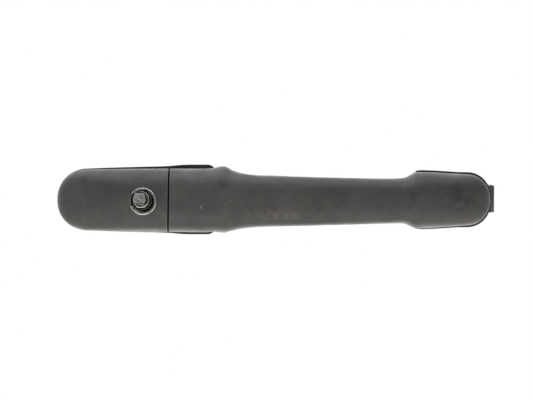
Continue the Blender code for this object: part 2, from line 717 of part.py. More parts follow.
def make_flanges():
    tip = [(x, half_height(x) * end_round(x) - 2.0) for x in reversed(round_stations(CAP_ROUND, -57.0, 5))]
    rear_edge = [*tip, (-20, 14.8), (26, 14.8), (30, 12.5)]
    rear = plate_on_skin("carrier", [both_sides(rear_edge)], PANEL, FLANGE_BACK)
    edge = [(138.5, 11.0), (141, 12.6), (160, 11.6), (168, 10.2), (173.5, NOSE_HALF - 0.1)]
    return rear, plate_on_skin("front_flange", [both_sides(edge)], PANEL, FLANGE_BACK)


def make_fixing_bosses():
    """The lock's socket, the bore for the cap's screw, and the rear fixing's boss."""
    x, z = REAR_FIXING
    return [
        lock_cylinder("lock_socket", SOCKET_RADIUS, SHOULDER + 4.6, SOCKET_BACK),
        cylinder("cap_screw_boss", 5.6, (-55.5, CAP_SCREW_Y, 0), (-22, CAP_SCREW_Y, 0)),
        box("cap_screw_web", (-55, 4.2, -2.2), (-20, CAP_SCREW_Y, 2.2)),
        cylinder("rear_fixing_boss", 4.0, (x, 4.2, z), (x, 13, z), segments=20),
    ]


def make_bay():
    """Two cheeks that hold the bell crank's pin, with a floor, a rear wall and a post for the cable."""
    cheek = [(CHEEK_X0, 3.2), (29, 3.2), (48, 17.6), (BAY_X1, 17.6), (BAY_X1, 33), (58, BAY_Y1), (4, BAY_Y1),
             (CHEEK_X0, 36)]  # fmt: skip
    hook_window = [(5.5, 10), (20, 10), (26, 18), (23, 30), (16, 38), (5.5, 38)]
    weight_window = [(48.5, 25), (61, 24), (61, 31), (54, 40), (48, 40)]
    outlines = [rounded(points, 2.5) for points in (cheek, hook_window, weight_window)]
    boss = (LEVER_X, LEVER_Y, -CHEEK_OUT - PIN_BOSS), (LEVER_X, LEVER_Y, 1 - CHEEK_OUT)
    pieces = [
        plate_on_side("top_cheek", outlines, CHEEK_IN, CHEEK_OUT),
        plate_on_side("bottom_cheek", outlines, -CHEEK_OUT, -CHEEK_IN),
        cylinder("pin_boss", 6.0, *boss),
    ]
    inner = CHEEK_IN + 1
    floor = [(24, 3.4), (30, 3.4), (48, 17.8), (66, 17.8), (66, 19.8), (47.5, 19.8), (29.5, 5.4), (24, 5.4)]
    pieces.append(plate_on_side("bay_floor", [floor], -inner, inner))
    pieces.append(box("bay_end", (BAY_X1 - 3.5, 18.2, -inner), (BAY_X1 - 0.2, 34, inner)))
    pieces.append(box("cable_post", (BAY_X1 - 3.3, 28, -7.2), (BAY_X1 - 0.4, CABLE_Y + 5.5, 7.2)))
    pieces.append(box("bay_rear_wall", (-2.2, 4.4, -inner), (0.8, 14, inner)))
    return pieces


def make_front_of_carrier():
    """The beam across the hand's recess, and the two cheeks and the nose that hold the grip's hinge."""
    beam = [(BAY_X1 - 2, BEAM_Y0), (126, BEAM_Y0), (139.5, 4), (146.6, 4), (146.6, 15), (138, BEAM_Y1),
            (BAY_X1 - 2, BEAM_Y1)]  # fmt: skip
    pieces = [plate_on_side("beam", [rounded(beam, 2)], -BEAM_HALF, BEAM_HALF)]
    end = NOSE_X - 1
    cheek = rounded([(145, 3.2), (end, 3.2), (end, 16), (172, 18), (160, 18), (145, 13.5)], 2.5)
    pieces.append(plate_on_side("top_hinge_cheek", [cheek], HINGE_CHEEK_IN, NOSE_HALF))
    pieces.append(plate_on_side("bottom_hinge_cheek", [cheek], -NOSE_HALF, -HINGE_CHEEK_IN))
    nose_back = HINGE_X + KNUCKLE_RADIUS + 0.6
    pieces.append(box("nose", (nose_back, 3.4, 0.2 - NOSE_HALF), (NOSE_X, 14.5, NOSE_HALF - 0.2)))
    return pieces


def carrier_holes():
    pin, lever, mouth = HINGE_PIN_RADIUS + 0.1, LEVER_PIN_RADIUS + 0.1, CLIP_RADIUS - 1.4
    holes = [
        lock_cylinder("socket_bore", BARREL_RADIUS + 0.2, 20, SOCKET_BACK + 5),
        cylinder("cap_screw_bore", 2.8, (-60, CAP_SCREW_Y, 0), (-23, CAP_SCREW_Y, 0), segments=20),
        cylinder("hinge_pin_hole", pin, (HINGE_X, HINGE_Y, -12), (HINGE_X, HINGE_Y, 12)),
        cylinder("lever_pin_hole", lever, (LEVER_X, LEVER_Y, -16), (LEVER_X, LEVER_Y, 16)),
        cylinder("cable_seat", CLIP_RADIUS - 1, (BAY_X1 - 8, CABLE_Y, 0), (BAY_X1 + 4, CABLE_Y, 0)),
        box("cable_mouth", (BAY_X1 - 8, CABLE_Y, -mouth), (BAY_X1 + 4, CABLE_Y + 9, mouth)),
        box("pull_slot", (2.0, -1, -6.4), (19.6, 8, 6.4)),
        box("lug_slot", (-50.6, -1, -6), (-45.4, 20, 6)),
        box("nut_pocket", (NUT_X - 0.3, CAP_SCREW_Y - NUT_HALF - FIT, -NUT_HALF - FIT),
            (NUT_X + NUT_THICK + FIT, 20, NUT_HALF + FIT)),
        box("hinge_slot", (147.2, -1, -HINGE_CHEEK_IN - 0.3), (165.5, 8, HINGE_CHEEK_IN + 0.3)),
    ]  # fmt: skip
    for place, (x, z) in {"rear": REAR_FIXING, "front": FRONT_FIXING}.items():
        holes.append(cylinder(f"{place}_fixing_hole", 1.9, (x, 0, z), (x, 12, z), segments=16))
    return holes


def beam_pockets():
    """Pockets on both sides of the beam, which leave a web down its middle and ribs across it."""
    start, end, count, rib = BAY_X1 + 2.5, 127.0, 4, 2.2
    pitch = (end - start) / count
    pockets = []
    for k in range(count):
        low, high = start + pitch * k, start + pitch * (k + 1) - rib
        pockets.append(box(f"pocket_top_{k}", (low, BEAM_Y0 + rib, 1.3), (high, BEAM_Y1 - rib, 12)))
        pockets.append(box(f"pocket_bottom_{k}", (low, BEAM_Y0 + rib, -12), (high, BEAM_Y1 - rib, -1.3)))
    return pockets


def make_carrier():
    rear_flange, front_flange = make_flanges()
    join(rear_flange, front_flange, *make_fixing_bosses(), *make_bay(), *make_front_of_carrier())
    cut(rear_flange, *carrier_holes(), *beam_pockets())
    HELPERS.objects.unlink(rear_flange)
    PARTS.objects.link(rear_flange)
    rear_flange.hide_render = False
    rear_flange.display_type = "TEXTURED"
    rear_flange.data.materials.append(MOULDED)
    smooth(rear_flange)


def make_carrier_screws():
    pan_screw("cap_screw", (-55.8, CAP_SCREW_Y, 0), (1, 0, 0), 27, 2.4, 4.4, 2.6)
    for place, (x, z) in {"rear": REAR_FIXING, "front": FRONT_FIXING}.items():
        pan_screw(f"carrier_screw_{place}", (x, -0.1, z), (0, 1, 0), 11.0, 1.7, 3.4, 1.7)
    low = NUT_X, CAP_SCREW_Y - NUT_HALF, -NUT_HALF
    high = NUT_X + NUT_THICK, CAP_SCREW_Y + NUT_HALF, NUT_HALF
    nut = box("cap_nut", low, high, STEEL, bevel=0.4)
    bore_ends = (NUT_X - 5, CAP_SCREW_Y, 0), (NUT_X + 8, CAP_SCREW_Y, 0)
    cut(nut, cylinder("nut_bore", 2.55, *bore_ends, segments=20))


def make_pins():
    top, radius = NOSE_HALF + FIT, HINGE_PIN_RADIUS
    hinge_pin = turned(
        "hinge_pin",
        [(0, top + 1), (2.6, top + 1), (3.2, top + 0.5), (3.2, top), (radius, top), (radius, -top - 0.2),
         (1.4, -top - 0.9), (0, -top - 0.9)],
        STEEL, 24,
    )  # fmt: skip
    hinge_pin.location = Vector((HINGE_X, HINGE_Y, 0)) * MM
    top, seat, radius = CHEEK_OUT + FIT, -CHEEK_OUT - PIN_BOSS - FIT, LEVER_PIN_RADIUS
    lever_pin = turned(
        "lever_pin",
        [(0, top + 1.5), (3.4, top + 1.5), (4.2, top + 0.8), (4.2, top), (radius, top), (radius, seat),
         (1.8, seat), (1.8, seat - 1), (radius, seat - 1), (radius, seat - 1.7), (radius - 0.5, seat - 2.2),
         (0, seat - 2.2)],
        STEEL, 24,
    )  # fmt: skip
    lever_pin.location = Vector((LEVER_X, LEVER_Y, 0)) * MM
    smooth(hinge_pin)
    smooth(lever_pin)
    ring = open_ring(2.0, 4.4, 0.75, LEVER_X, LEVER_Y)
    plate_on_side("lever_clip", [ring], seat - 0.88, seat - 0.12, STEEL)


def make_cable_clip():
    """A spool in the cable post, open towards the back, that takes the end of the cable's sheath."""
    x0, x1 = BAY_X1 - 3.45, BAY_X1 - 0.25
    bore, neck, flange, lip = 3.1, CLIP_RADIUS - 1.15, CLIP_RADIUS + 0.6, 1.45
    outline = [(flange, x1 + lip), (flange, x1), (neck, x1), (neck, x0), (flange, x0), (flange, x0 - lip),
               (bore, x0 - lip), (bore, x1 + lip)]  # fmt: skip
    clip = turned("cable_clip", outline, ACETAL, 28)
    clip.rotation_euler.y = pi / 2
    clip.location = Vector((0, CABLE_Y, 0)) * MM
    cut(clip, box("clip_mouth", (x0 - 4, CABLE_Y, -2.2), (x1 + 4, CABLE_Y + 9, 2.2)))
    smooth(clip)


# ---- bell crank ----

FINGER_ANGLE, CABLE_ANGLE = pi - FINGER_SWING, pi / 2 - FINGER_SWING
LEVER_SPRING_RADIUS, LEVER_SPRING_WIRE, LEVER_SPRING_TOP, LEVER_SPRING_LOW = 7.0, 0.45, 7.6, 4.2
LEG_TILT, LEG_LENGTH = radians(12.2), 14.5


def lever_point(angle, radius, z=0.0):
    return Vector((LEVER_X + radius * cos(angle), LEVER_Y + radius * sin(angle), z))


def lever_arm(name, angle, length, root, tip, half):
    """A tapered arm out from the hub, seen from above, with a round end."""
    centre, end = lever_point(angle, 0), lever_point(angle, length)
    side = Vector((-sin(angle), cos(angle), 0)) * root
    far = circle(end.x, end.y, tip, 12, angle + pi / 2, -pi)
    return plate_on_side(name, [[(centre - side)[:2], (centre + side)[:2], *far]], -half, half)


def make_bell_crank():
    top, low = lever_point(0, 0, HUB_HALF), lever_point(0, 0, -HUB_HALF)
    crank = cylinder("bell_crank", HUB_RADIUS, low, top, MOULDED, 32)
    join(
        crank,
        lever_arm("finger_arm", FINGER_ANGLE, FINGER_RADIUS, 3.6, FINGER_TIP, LEVER_ARM_HALF),
        lever_arm("cable_arm", CABLE_ANGLE, CABLE_RADIUS, 4.0, 3.4, LEVER_ARM_HALF - 0.4),
        lever_arm("weight_arm", WEIGHT_ANGLE, WEIGHT_RADIUS, 4.8, 4.2, WEB_HALF),
    )
    bore = LEVER_PIN_RADIUS + LEVER_BUSH_WALL + 2 * RUNNING
    nipple, rivet = lever_point(CABLE_ANGLE, CABLE_RADIUS), lever_point(WEIGHT_ANGLE, WEIGHT_RADIUS)
    reach = Vector((0, 0, 12))
    cut(
        crank,
        cylinder("crank_bore", bore, low - reach, top + reach),
        cylinder("nipple_seat", 1.9, nipple - reach, nipple + reach, segments=16),
        box("cable_slot", nipple + Vector((0, -0.8, -0.8)), nipple + Vector((8, 0.8, 0.8))),
        cylinder("rivet_hole", RIVET_HOLE, rivet - reach, rivet + reach, segments=16),
    )
    smooth(crank)
    inner = LEVER_PIN_RADIUS + RUNNING
    outer, half = inner + LEVER_BUSH_WALL, HUB_HALF + 0.2
    bush = turned("lever_bush", [(outer, half), (outer, -half), (inner, -half), (inner, half)], ACETAL, 24)
    bush.location = lever_point(0, 0) * MM
    smooth(bush)


def make_counterweight():
    """Two zinc slugs, one on each side of the crank's arm, held by one rivet."""
    place, r = lever_point(WEIGHT_ANGLE, WEIGHT_RADIUS) * MM, WEIGHT_SIZE
    for side, low, high in (("top", WEB_HALF + FIT, SLUG_END), ("bottom", -SLUG_END, -WEB_HALF - FIT)):
        bore = [(RIVET_HOLE, low), (RIVET_HOLE, high)]
        outline = [(r - 0.5, high), (r, high - 0.5), (r, low + 0.5), (r - 0.5, low), *bore]
        slug = turned(f"inertia_weight_{side}", outline, ZINC, 28)
        slug.location = place
        smooth(slug)
    end = SLUG_END + RUNNING
    half = [(0, end + 0.9), (1.6, end + 0.9), (2.7, end + 0.4), (2.7, end), (1.55, end)]
    rivet = turned("weight_rivet", half + [(r, -z) for r, z in reversed(half)], STEEL, 20)
    rivet.location = place
    smooth(rivet)


def make_lever_spring():
    """A torsion spring round the crank's hub. Its legs rest on the bay's floor and under the finger."""
    radius, top, low = LEVER_SPRING_RADIUS, LEVER_SPRING_TOP, LEVER_SPRING_LOW
    leave = FINGER_ANGLE + pi / 2 - LEG_TILT
    sweep = pi - leave + 6 * pi
    count = 38
    start = lever_point(pi, radius, top)
    points = [start + Vector((0, 8.2 - LEVER_Y, 0)), start + Vector((0, -6, 0))]
    for k in range(count + 1):
        points.append(lever_point(pi - sweep * k / count, radius, top + (low - top) * k / count))
    end = points[-1] + Vector((sin(leave), -cos(leave), 0)) * LEG_LENGTH
    points += [end, end + Vector((0, 0, -2.4))]
    tube("lever_spring", points, LEVER_SPRING_WIRE, STEEL)


make_grip_cover()
make_grip_back()
make_grip_frame()
make_grip_fittings()
make_lock_cap()
make_bezel()
make_rear_gasket()
make_front_gasket()
make_lock_housing()
make_spindle()
make_lock_clips()
make_paddle()
make_spindle_spring()
make_carrier()
make_carrier_screws()
make_pins()
make_cable_clip()
make_bell_crank()
make_counterweight()
make_lever_spring()
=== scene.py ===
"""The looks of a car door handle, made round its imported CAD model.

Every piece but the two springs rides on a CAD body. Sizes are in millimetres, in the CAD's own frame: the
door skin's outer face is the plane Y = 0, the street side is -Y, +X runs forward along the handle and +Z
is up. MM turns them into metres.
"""

import json
from itertools import pairwise
from math import asin, cos, pi, radians, sin

import bmesh
import bpy
from mathutils import Matrix, Vector


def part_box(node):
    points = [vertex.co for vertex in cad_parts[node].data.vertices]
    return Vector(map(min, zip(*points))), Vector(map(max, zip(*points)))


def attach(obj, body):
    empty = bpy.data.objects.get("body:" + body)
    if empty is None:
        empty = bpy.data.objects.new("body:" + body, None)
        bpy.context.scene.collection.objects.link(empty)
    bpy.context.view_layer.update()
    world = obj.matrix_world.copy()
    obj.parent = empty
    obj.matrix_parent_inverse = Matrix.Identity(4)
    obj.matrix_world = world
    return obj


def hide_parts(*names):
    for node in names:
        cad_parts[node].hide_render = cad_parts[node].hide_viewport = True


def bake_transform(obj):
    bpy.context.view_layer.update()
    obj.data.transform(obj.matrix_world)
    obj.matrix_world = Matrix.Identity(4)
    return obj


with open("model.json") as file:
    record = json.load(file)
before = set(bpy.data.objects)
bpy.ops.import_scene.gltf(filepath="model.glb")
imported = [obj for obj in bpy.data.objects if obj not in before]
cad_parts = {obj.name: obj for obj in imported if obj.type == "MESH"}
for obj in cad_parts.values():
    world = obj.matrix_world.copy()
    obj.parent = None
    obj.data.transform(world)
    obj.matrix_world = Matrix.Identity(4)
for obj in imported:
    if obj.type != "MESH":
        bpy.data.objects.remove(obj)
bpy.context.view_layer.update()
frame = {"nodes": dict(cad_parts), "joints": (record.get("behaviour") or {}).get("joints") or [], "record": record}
BODY_OF = {node: body for body, nodes in frame["record"]["behaviour"]["bodies"].items() for node in nodes}
JOINTS = {joint["name"]: joint for joint in frame["joints"]}

MM = 0.001
WELD, SKIN_WELD, CAD_WELD = 1e-7, 1e-6, 2e-6  # in metres: points closer than this become one
RUNNING = 0.15  # radial clearance of a pin in its bore

# The outer skin.
SEAM = 0.8
SEAM_LEAN, LEAN_REACH = 0.017, 25.0  # its slope forward, which fades out over this length on both sides
CAP_TIP, CAP_ROUND = -62.0, -44.8
GRIP_TIP, GRIP_ROUND = 178.4, 165.6
ROUND_POWER = 2.15
SKIN_WALL, BACK_WALL = 2.4, 1.6
SPLIT_GAP = 0.5
RIM = 2.3
DRAFT = 0.03
SKIN_ROUNDING, BACK_ROUNDING = 0.45, 0.25

# The grip's hinge, the bell crank and the lock, from the CAD's joints.
HINGE = Vector(JOINTS["grip_pull"]["pos_m"]) / MM
LEVER = Vector(JOINTS["lever_swing"]["pos_m"]) / MM
LOCK_POINT = Vector(JOINTS["lock_turn"]["pos_m"]) / MM
LOCK_AXIS = -Vector(JOINTS["lock_turn"]["axis"]).normalized()  # inward
HOLE_X, HOLE_RADIUS = -14.0, 7.0


def profile(points):
    """A smooth function through (x, value) points that makes no overshoot between them."""
    xs, values = zip(*points)
    slopes = [(b - a) / (d - c) for (a, b), (c, d) in zip(pairwise(values), pairwise(xs))]
    inner = [2 * a * b / (a + b) if a * b > 0 else 0.0 for a, b in pairwise(slopes)]
    bends = [slopes[0], *inner, slopes[-1]]

    def value(x):
        x = min(max(x, xs[0]), xs[-1])
        i = max(k for k in range(len(xs) - 1) if xs[k] <= x)
        width = xs[i + 1] - xs[i]
        t = (x - xs[i]) / width
        return (
            values[i] * (1 + 2 * t) * (1 - t) ** 2
            + values[i + 1] * t * t * (3 - 2 * t)
            + width * t * (1 - t) * (bends[i] * (1 - t) - bends[i + 1] * t)
        )

    return value


# Along X, over the lock cap and the grip, as in the CAD: half-heights, and heights above the door skin.
# middle is how far each section sits above Z = 0.
half_height = profile([
    (-62, 16.5), (-42, 17.0), (-21, 17.4), (0, 17.5), (24, 17.6), (30.5, 18.35), (35, 16.75), (40, 15.35),
    (50, 14.2), (72, 13.55), (105, 12.7), (124, 12.35), (129.5, 12.55), (133.5, 14.1), (137, 15.6),
    (146, 15.35), (160, 14.5), (178.5, 13.5),
])
crown = profile([
    (-62, 12.8), (-42, 17.8), (-30, 20.8), (-14, 23.5), (0, 25.0), (15, 26.5), (30, 28.6), (45, 30.8),
    (60, 32.2), (80, 33.0), (100, 32.6), (120, 30.8), (132, 28.7), (140, 26.8), (150, 23.8), (160.5, 19.8),
    (178.5, 11.8),
])
widest = profile([
    (-62, 5.0), (-42, 8.0), (0, 11.0), (15, 12.0), (30, 15.0), (45, 21.5), (60, 24.0), (80, 25.0),
    (100, 24.6), (120, 22.0), (132, 17.0), (140, 12.5), (150, 10.0), (165, 7.5), (178.5, 5.5),
])
rim_height = profile([
    (-62, RIM), (26.5, RIM), (28, 7.0), (30, 11.5), (33, 14.5), (38, 17.3), (45, 20.9), (60, 23.4),
    (80, 24.4), (100, 24.0), (120, 21.4), (127, 18.2), (131, 14.8), (134, 10.0), (136, 5.0), (137.5, RIM),
    (170, RIM), (173, RIM + 0.45), (178.5, RIM + 1.2),
])
back = profile([
    (31, 5.0), (36, 9.5), (42, 13.0), (50, 15.5), (60, 16.8), (80, 17.2), (100, 16.6), (115, 15.0),
    (124, 12.0), (129, 9.0), (133, 5.0),
])
middle = profile([(-62, 0), (20, 0), (27, 0.5), (31, 0.65), (36, 0.15), (41, 0), (178.5, 0)])


def end_round(x):
    """1 along the handle, falling to 0 over the round end at each tip."""
    for start, tip in ((CAP_ROUND, CAP_TIP), (GRIP_ROUND, GRIP_TIP)):
        share = (x - start) / (tip - start)
        if share > 0:
            return max(0.0, 1 - min(share, 1) ** ROUND_POWER) ** (1 / ROUND_POWER)
    return 1.0


def spread(start, end, count):
    """Evenly spaced values, with both ends."""
    return [start + (end - start) * k / count for k in range(count + 1)]


def round_stations(start, tip, count):
    """Stations that close up towards a round end's tip."""
    return [start + (tip - start) * sin(pi / 2 * k / count) for k in range(count + 1)]


def around(count):
    """Evenly spaced angles, all the way round."""
    return [2 * pi * k / count for k in range(count)]


def arc_angles(count, crowding=0.6):
    """Angles from 0 to pi, closer together near both ends, where a superellipse turns fast."""
    return [pi * (k / count - crowding * sin(2 * pi * k / count) / (2 * pi)) for k in range(count + 1)]


# ---- materials: Principled shaders with grain and colour variation, most with paler edges (wear, and on the grained plastic also painted highlight) ----

MIX_AMOUNT, MIX_UNDER, MIX_OVER, MIX_COLOUR = 0, 6, 7, 2  # the sockets that a Mix node uses for colours
NOISE_ROUGHNESS = 0.55


def add_node(tree, kind, inputs=(), **settings):
    """A new node. Inputs that are sockets are linked, and the others are values."""
    node = tree.nodes.new(kind)
    for key, value in settings.items():
        setattr(node, key, value)
    for key, value in dict(inputs).items():
        if isinstance(value, bpy.types.NodeSocket):
            tree.links.new(value, node.inputs[key])
        else:
            node.inputs[key].default_value = value
    return node


def remapped(tree, value, low, high, to_low=0.0, to_high=1.0):
    inputs = {"Value": value, "From Min": low, "From Max": high, "To Min": to_low, "To Max": to_high}
    return add_node(tree, "ShaderNodeMapRange", inputs).outputs["Result"]


class Finish:
    """A material under construction.

    Most methods add nodes and return the socket that holds the result. paint, roughness and bump lay such a
    result on the shader.
    """

    def __init__(self, name, colour, roughness, metallic=0.0, specular=0.5):
        self.material = bpy.data.materials.new(name)
        self.material.use_nodes = True
        self.material.diffuse_color = (*colour, 1)
        self.tree = self.material.node_tree
        self.shader = self.tree.nodes["Principled BSDF"]
        self.shader.inputs["Base Color"].default_value = (*colour, 1)
        self.shader.inputs["Roughness"].default_value = roughness
        self.shader.inputs["Metallic"].default_value = metallic
        self.shader.inputs["Specular IOR Level"].default_value = specular
        self.place = self.add("ShaderNodeTexCoord").outputs["Object"]
        self.normal = None

    def add(self, kind, inputs=(), **settings):
        return add_node(self.tree, kind, inputs, **settings)

    def stretched(self, x, y, z):
        """The object's own coordinates, scaled by a factor for each axis."""
        return self.add("ShaderNodeMapping", {"Vector": self.place, "Scale": (x, y, z)}).outputs["Vector"]

    def noise(self, size, detail=3.0, place=None):
        """Noise with features about this many millimetres wide."""
        inputs = {"Vector": place or self.place, "Scale": 1 / (size * MM), "Detail": detail}
        inputs["Roughness"] = NOISE_ROUGHNESS
        return self.add("ShaderNodeTexNoise", inputs).outputs["Fac"]

    def pebbles(self, size):
        """A cell pattern like fine moulded leather grain."""
        inputs = {"Vector": self.place, "Scale": 1 / (size * MM), "Smoothness": 0.5}
        return self.add("ShaderNodeTexVoronoi", inputs, feature="SMOOTH_F1").outputs["Distance"]

    def remap(self, value, *limits):
        return remapped(self.tree, value, *limits)

    def times(self, a, b):
        return self.add("ShaderNodeMath", {0: a, 1: b}, operation="MULTIPLY").outputs[0]

    def edges(self, low=0.52, high=0.60):
        """1 on convex edges, by the surface's own sharpness."""
        return self.remap(self.add("ShaderNodeNewGeometry").outputs["Pointiness"], low, high)

    def within(self, centre, radii):
        """1 at a point given in millimetres, fading to 0 at these radii round it."""
        inputs = {
            "Vector": self.place,
            "Location": [-c / r for c, r in zip(centre, radii)],
            "Scale": [1 / (r * MM) for r in radii],
        }
        place = self.add("ShaderNodeMapping", inputs).outputs["Vector"]
        distance = self.add("ShaderNodeVectorMath", {0: place}, operation="LENGTH").outputs["Value"]
        return self.remap(distance, 1.0, 0.0)

    def patch(self, centre, radii, noise, low, high):
        """Like within, but broken up by a noise."""
        return self.times(self.within(centre, radii), self.remap(noise, low, high))

    def paint(self, colour, amount, strength=1.0):
        """Lays a colour over what is there, by a mask."""
        if strength != 1.0:
            amount = self.times(amount, strength)
        target = self.shader.inputs["Base Color"]
        before = target.links[0].from_socket if target.is_linked else tuple(target.default_value)
        inputs = {MIX_AMOUNT: amount, MIX_UNDER: before, MIX_OVER: (*colour, 1)}
        mix = self.add("ShaderNodeMix", inputs, data_type="RGBA")
        self.tree.links.new(mix.outputs[MIX_COLOUR], target)

    def roughness(self, value, low, high):
        """Roughness that follows a noise from low to high."""
        self.tree.links.new(self.remap(value, 0.3, 0.7, low, high), self.shader.inputs["Roughness"])

    def bump(self, height, depth, strength=1.0):
        """A relief this many millimetres deep, on top of any earlier one."""
        inputs = {"Height": height, "Distance": depth * MM, "Strength": strength}
        if self.normal:
            inputs["Normal"] = self.normal
        self.normal = self.add("ShaderNodeBump", inputs).outputs["Normal"]
        self.tree.links.new(self.normal, self.shader.inputs["Normal"])


def grained_plastic():
    """Black polypropylene with a fine moulded grain, a little faded and scuffed by use, with paler edges that are
    part wear and part painted highlight.
    """
    made = Finish("grained_plastic", (0.0120, 0.0117, 0.0108), 0.5, specular=0.46)
    made.paint((0.0200, 0.0194, 0.0182), made.remap(made.noise(26, 4), 0.40, 0.62))
    made.paint((0.030, 0.025, 0.020), made.remap(made.noise(9, 5), 0.54, 0.68), 0.45)
    made.paint((0.005, 0.006, 0.005), made.remap(made.noise(6, 4), 0.54, 0.68), 0.6)
    smudge = made.patch((62, -31, -7.5), (13, 14, 4.5), made.noise(4, 4), 0.42, 0.62)
    made.paint((0.085, 0.064, 0.050), smudge, 0.55)
    dark = made.patch((160, -19, 1), (13, 16, 10), made.noise(5, 4), 0.38, 0.52)
    made.paint((0.002, 0.003, 0.002), dark)
    nick = made.patch((18.2, -26, -3.2), (0.7, 4, 1.7), made.noise(0.6), 0.35, 0.55)
    made.paint((0.16, 0.155, 0.15), nick, 0.8)
    scratches = made.noise(1.3, 2, made.stretched(0.16, 1, 1))
    made.paint((0.085, 0.082, 0.078), made.remap(scratches, 0.70, 0.76), 0.35)
    # paler convex edges: partly wear, partly a painted highlight where the rounded edges would catch light
    made.paint((0.15, 0.147, 0.14), made.edges(), 0.7)
    made.roughness(made.noise(11, 5), 0.46, 0.62)
    made.bump(made.pebbles(0.5), 0.045, 0.8)
    made.bump(made.noise(0.16, 2), 0.012, 0.5)
    made.bump(made.noise(14, 2), 0.05, 0.25)
    return made.material


def moulded_nylon():
    """Black glass-filled nylon: flow marks, a faint fibre texture and paler rubbed edges."""
    made = Finish("moulded_nylon", (0.022, 0.022, 0.023), 0.45, specular=0.45)
    flow = made.noise(12, 4, made.stretched(0.35, 1, 1))
    made.paint((0.036, 0.036, 0.036), made.remap(flow, 0.40, 0.66))
    fibres = made.noise(0.35, 2, made.stretched(0.18, 1, 1))
    made.paint((0.060, 0.060, 0.058), made.remap(fibres, 0.60, 0.74), 0.4)
    made.paint((0.095, 0.093, 0.090), made.edges(), 0.5)
    made.roughness(made.noise(6, 4), 0.36, 0.56)
    made.bump(fibres, 0.012, 0.5)
    made.bump(made.noise(0.25, 3), 0.010, 0.5)
    return made.material


def rubber():
    """Matt black EPDM with grey dust on it."""
    made = Finish("rubber", (0.012, 0.012, 0.012), 0.8, specular=0.3)
    made.paint((0.040, 0.039, 0.036), made.remap(made.noise(5, 5), 0.46, 0.70), 0.5)
    made.paint((0.070, 0.068, 0.063), made.edges(), 0.35)
    made.roughness(made.noise(3, 4), 0.68, 0.90)
    made.bump(made.noise(0.30, 3), 0.018, 0.6)
    return made.material


def die_cast_zinc():
    """Zinc as it leaves the die: grey, slightly orange-peeled, brighter where it has been rubbed."""
    made = Finish("die_cast_zinc", (0.21, 0.21, 0.205), 0.42, metallic=1.0)
    made.paint((0.12, 0.12, 0.117), made.remap(made.noise(2.2, 4), 0.42, 0.62))
    made.paint((0.08, 0.078, 0.072), made.remap(made.noise(0.9, 3), 0.56, 0.72), 0.7)
    made.paint((0.42, 0.42, 0.41), made.edges(), 0.6)
    made.roughness(made.noise(1.4, 3), 0.34, 0.55)
    made.bump(made.noise(0.6, 3), 0.020, 0.5)
    return made.material


def plated_steel():
    """Zinc-plated steel with a passivated, slightly yellow and blue film."""
    made = Finish("plated_steel", (0.28, 0.276, 0.265), 0.3, metallic=1.0)
    made.paint((0.32, 0.295, 0.24), made.remap(made.noise(3.5, 3), 0.45, 0.62), 0.6)
    made.paint((0.20, 0.22, 0.25), made.remap(made.noise(4.7, 3), 0.50, 0.66), 0.5)
    made.paint((0.55, 0.54, 0.52), made.edges(), 0.6)
    made.roughness(made.noise(0.8, 3), 0.22, 0.40)
    made.bump(made.noise(0.22, 2), 0.006, 0.5)
    return made.material


def bright_metal():
    """Chromed brass, a little wavy, with a dull bloom in places."""
    made = Finish("bright_metal", (0.60, 0.60, 0.59), 0.24, metallic=1.0)
    made.paint((0.22, 0.22, 0.215), made.remap(made.noise(2.4, 4), 0.44, 0.60), 0.85)
    made.paint((0.78, 0.78, 0.77), made.edges(high=0.58), 0.4)
    made.roughness(made.noise(0.9, 4), 0.20, 0.42)
    made.bump(made.noise(0.9, 3), 0.05, 0.6)
    return made.material


def acetal():
    """Natural acetal: creamy white, waxy, with a trace of grease."""
    made = Finish("acetal", (0.50, 0.48, 0.42), 0.38, specular=0.5)
    made.shader.inputs["Subsurface Weight"].default_value = 0.12
    made.shader.inputs["Subsurface Scale"].default_value = 0.002
    made.paint((0.42, 0.39, 0.31), made.remap(made.noise(3, 4), 0.45, 0.68), 0.7)
    made.paint((0.22, 0.20, 0.15), made.remap(made.noise(1.5, 4), 0.62, 0.76), 0.5)
    made.roughness(made.noise(1.8, 3), 0.28, 0.46)
    made.bump(made.noise(0.5, 2), 0.008, 0.5)
    return made.material


MATERIALS = (grained_plastic, moulded_nylon, rubber, die_cast_zinc, plated_steel, bright_metal, acetal)
FINISHES = {make.__name__: make() for make in MATERIALS}


# ---- mesh helpers ----


def add_object(name, data):
    obj = bpy.data.objects.new(name, data)
    bpy.context.scene.collection.objects.link(obj)
    return obj


def mesh_object(name, bm):
    """An object with this bmesh, which is used up."""
    bmesh.ops.remove_doubles(bm, verts=bm.verts, dist=WELD)
    bmesh.ops.recalc_face_normals(bm, faces=bm.faces)
    mesh = bpy.data.meshes.new(name)
    bm.to_mesh(mesh)
    bm.free()
    return add_object(name, mesh)


def baked(obj):
    """The same object as one welded mesh, with its modifiers applied."""
    bpy.context.view_layer.update()
    graph = bpy.context.evaluated_depsgraph_get()
    mesh = bpy.data.meshes.new_from_object(obj.evaluated_get(graph))
    name, matrix = obj.name, obj.matrix_world.copy()
    bpy.data.objects.remove(obj)
    bm = bmesh.new()
    bm.from_mesh(mesh)
    bm.transform(matrix)
    bmesh.ops.remove_doubles(bm, verts=bm.verts, dist=WELD)
    bmesh.ops.recalc_face_normals(bm, faces=bm.faces)
    bm.to_mesh(mesh)
    bm.free()
    mesh.materials.clear()
    return add_object(name, mesh)


def add_bevel(obj, width, segments=3, angle=40):
    """Will round every edge that turns by more than this many degrees."""
    rounding = obj.modifiers.new("rounded_edges", "BEVEL")
    rounding.width = width * MM
    rounding.segments = segments
    rounding.limit_method = "ANGLE"
    rounding.angle_limit = radians(angle)
    rounding.miter_outer = "MITER_ARC"
    return obj


def combine(obj, operation, others):
    """Cuts or joins other objects, which are used up."""
    for other in others:
        boolean = obj.modifiers.new(other.name, "BOOLEAN")
        boolean.operation = operation
        boolean.object = other
        boolean.solver = "EXACT"
    made = baked(obj)
    for other in others:
        bpy.data.objects.remove(other)
    return made


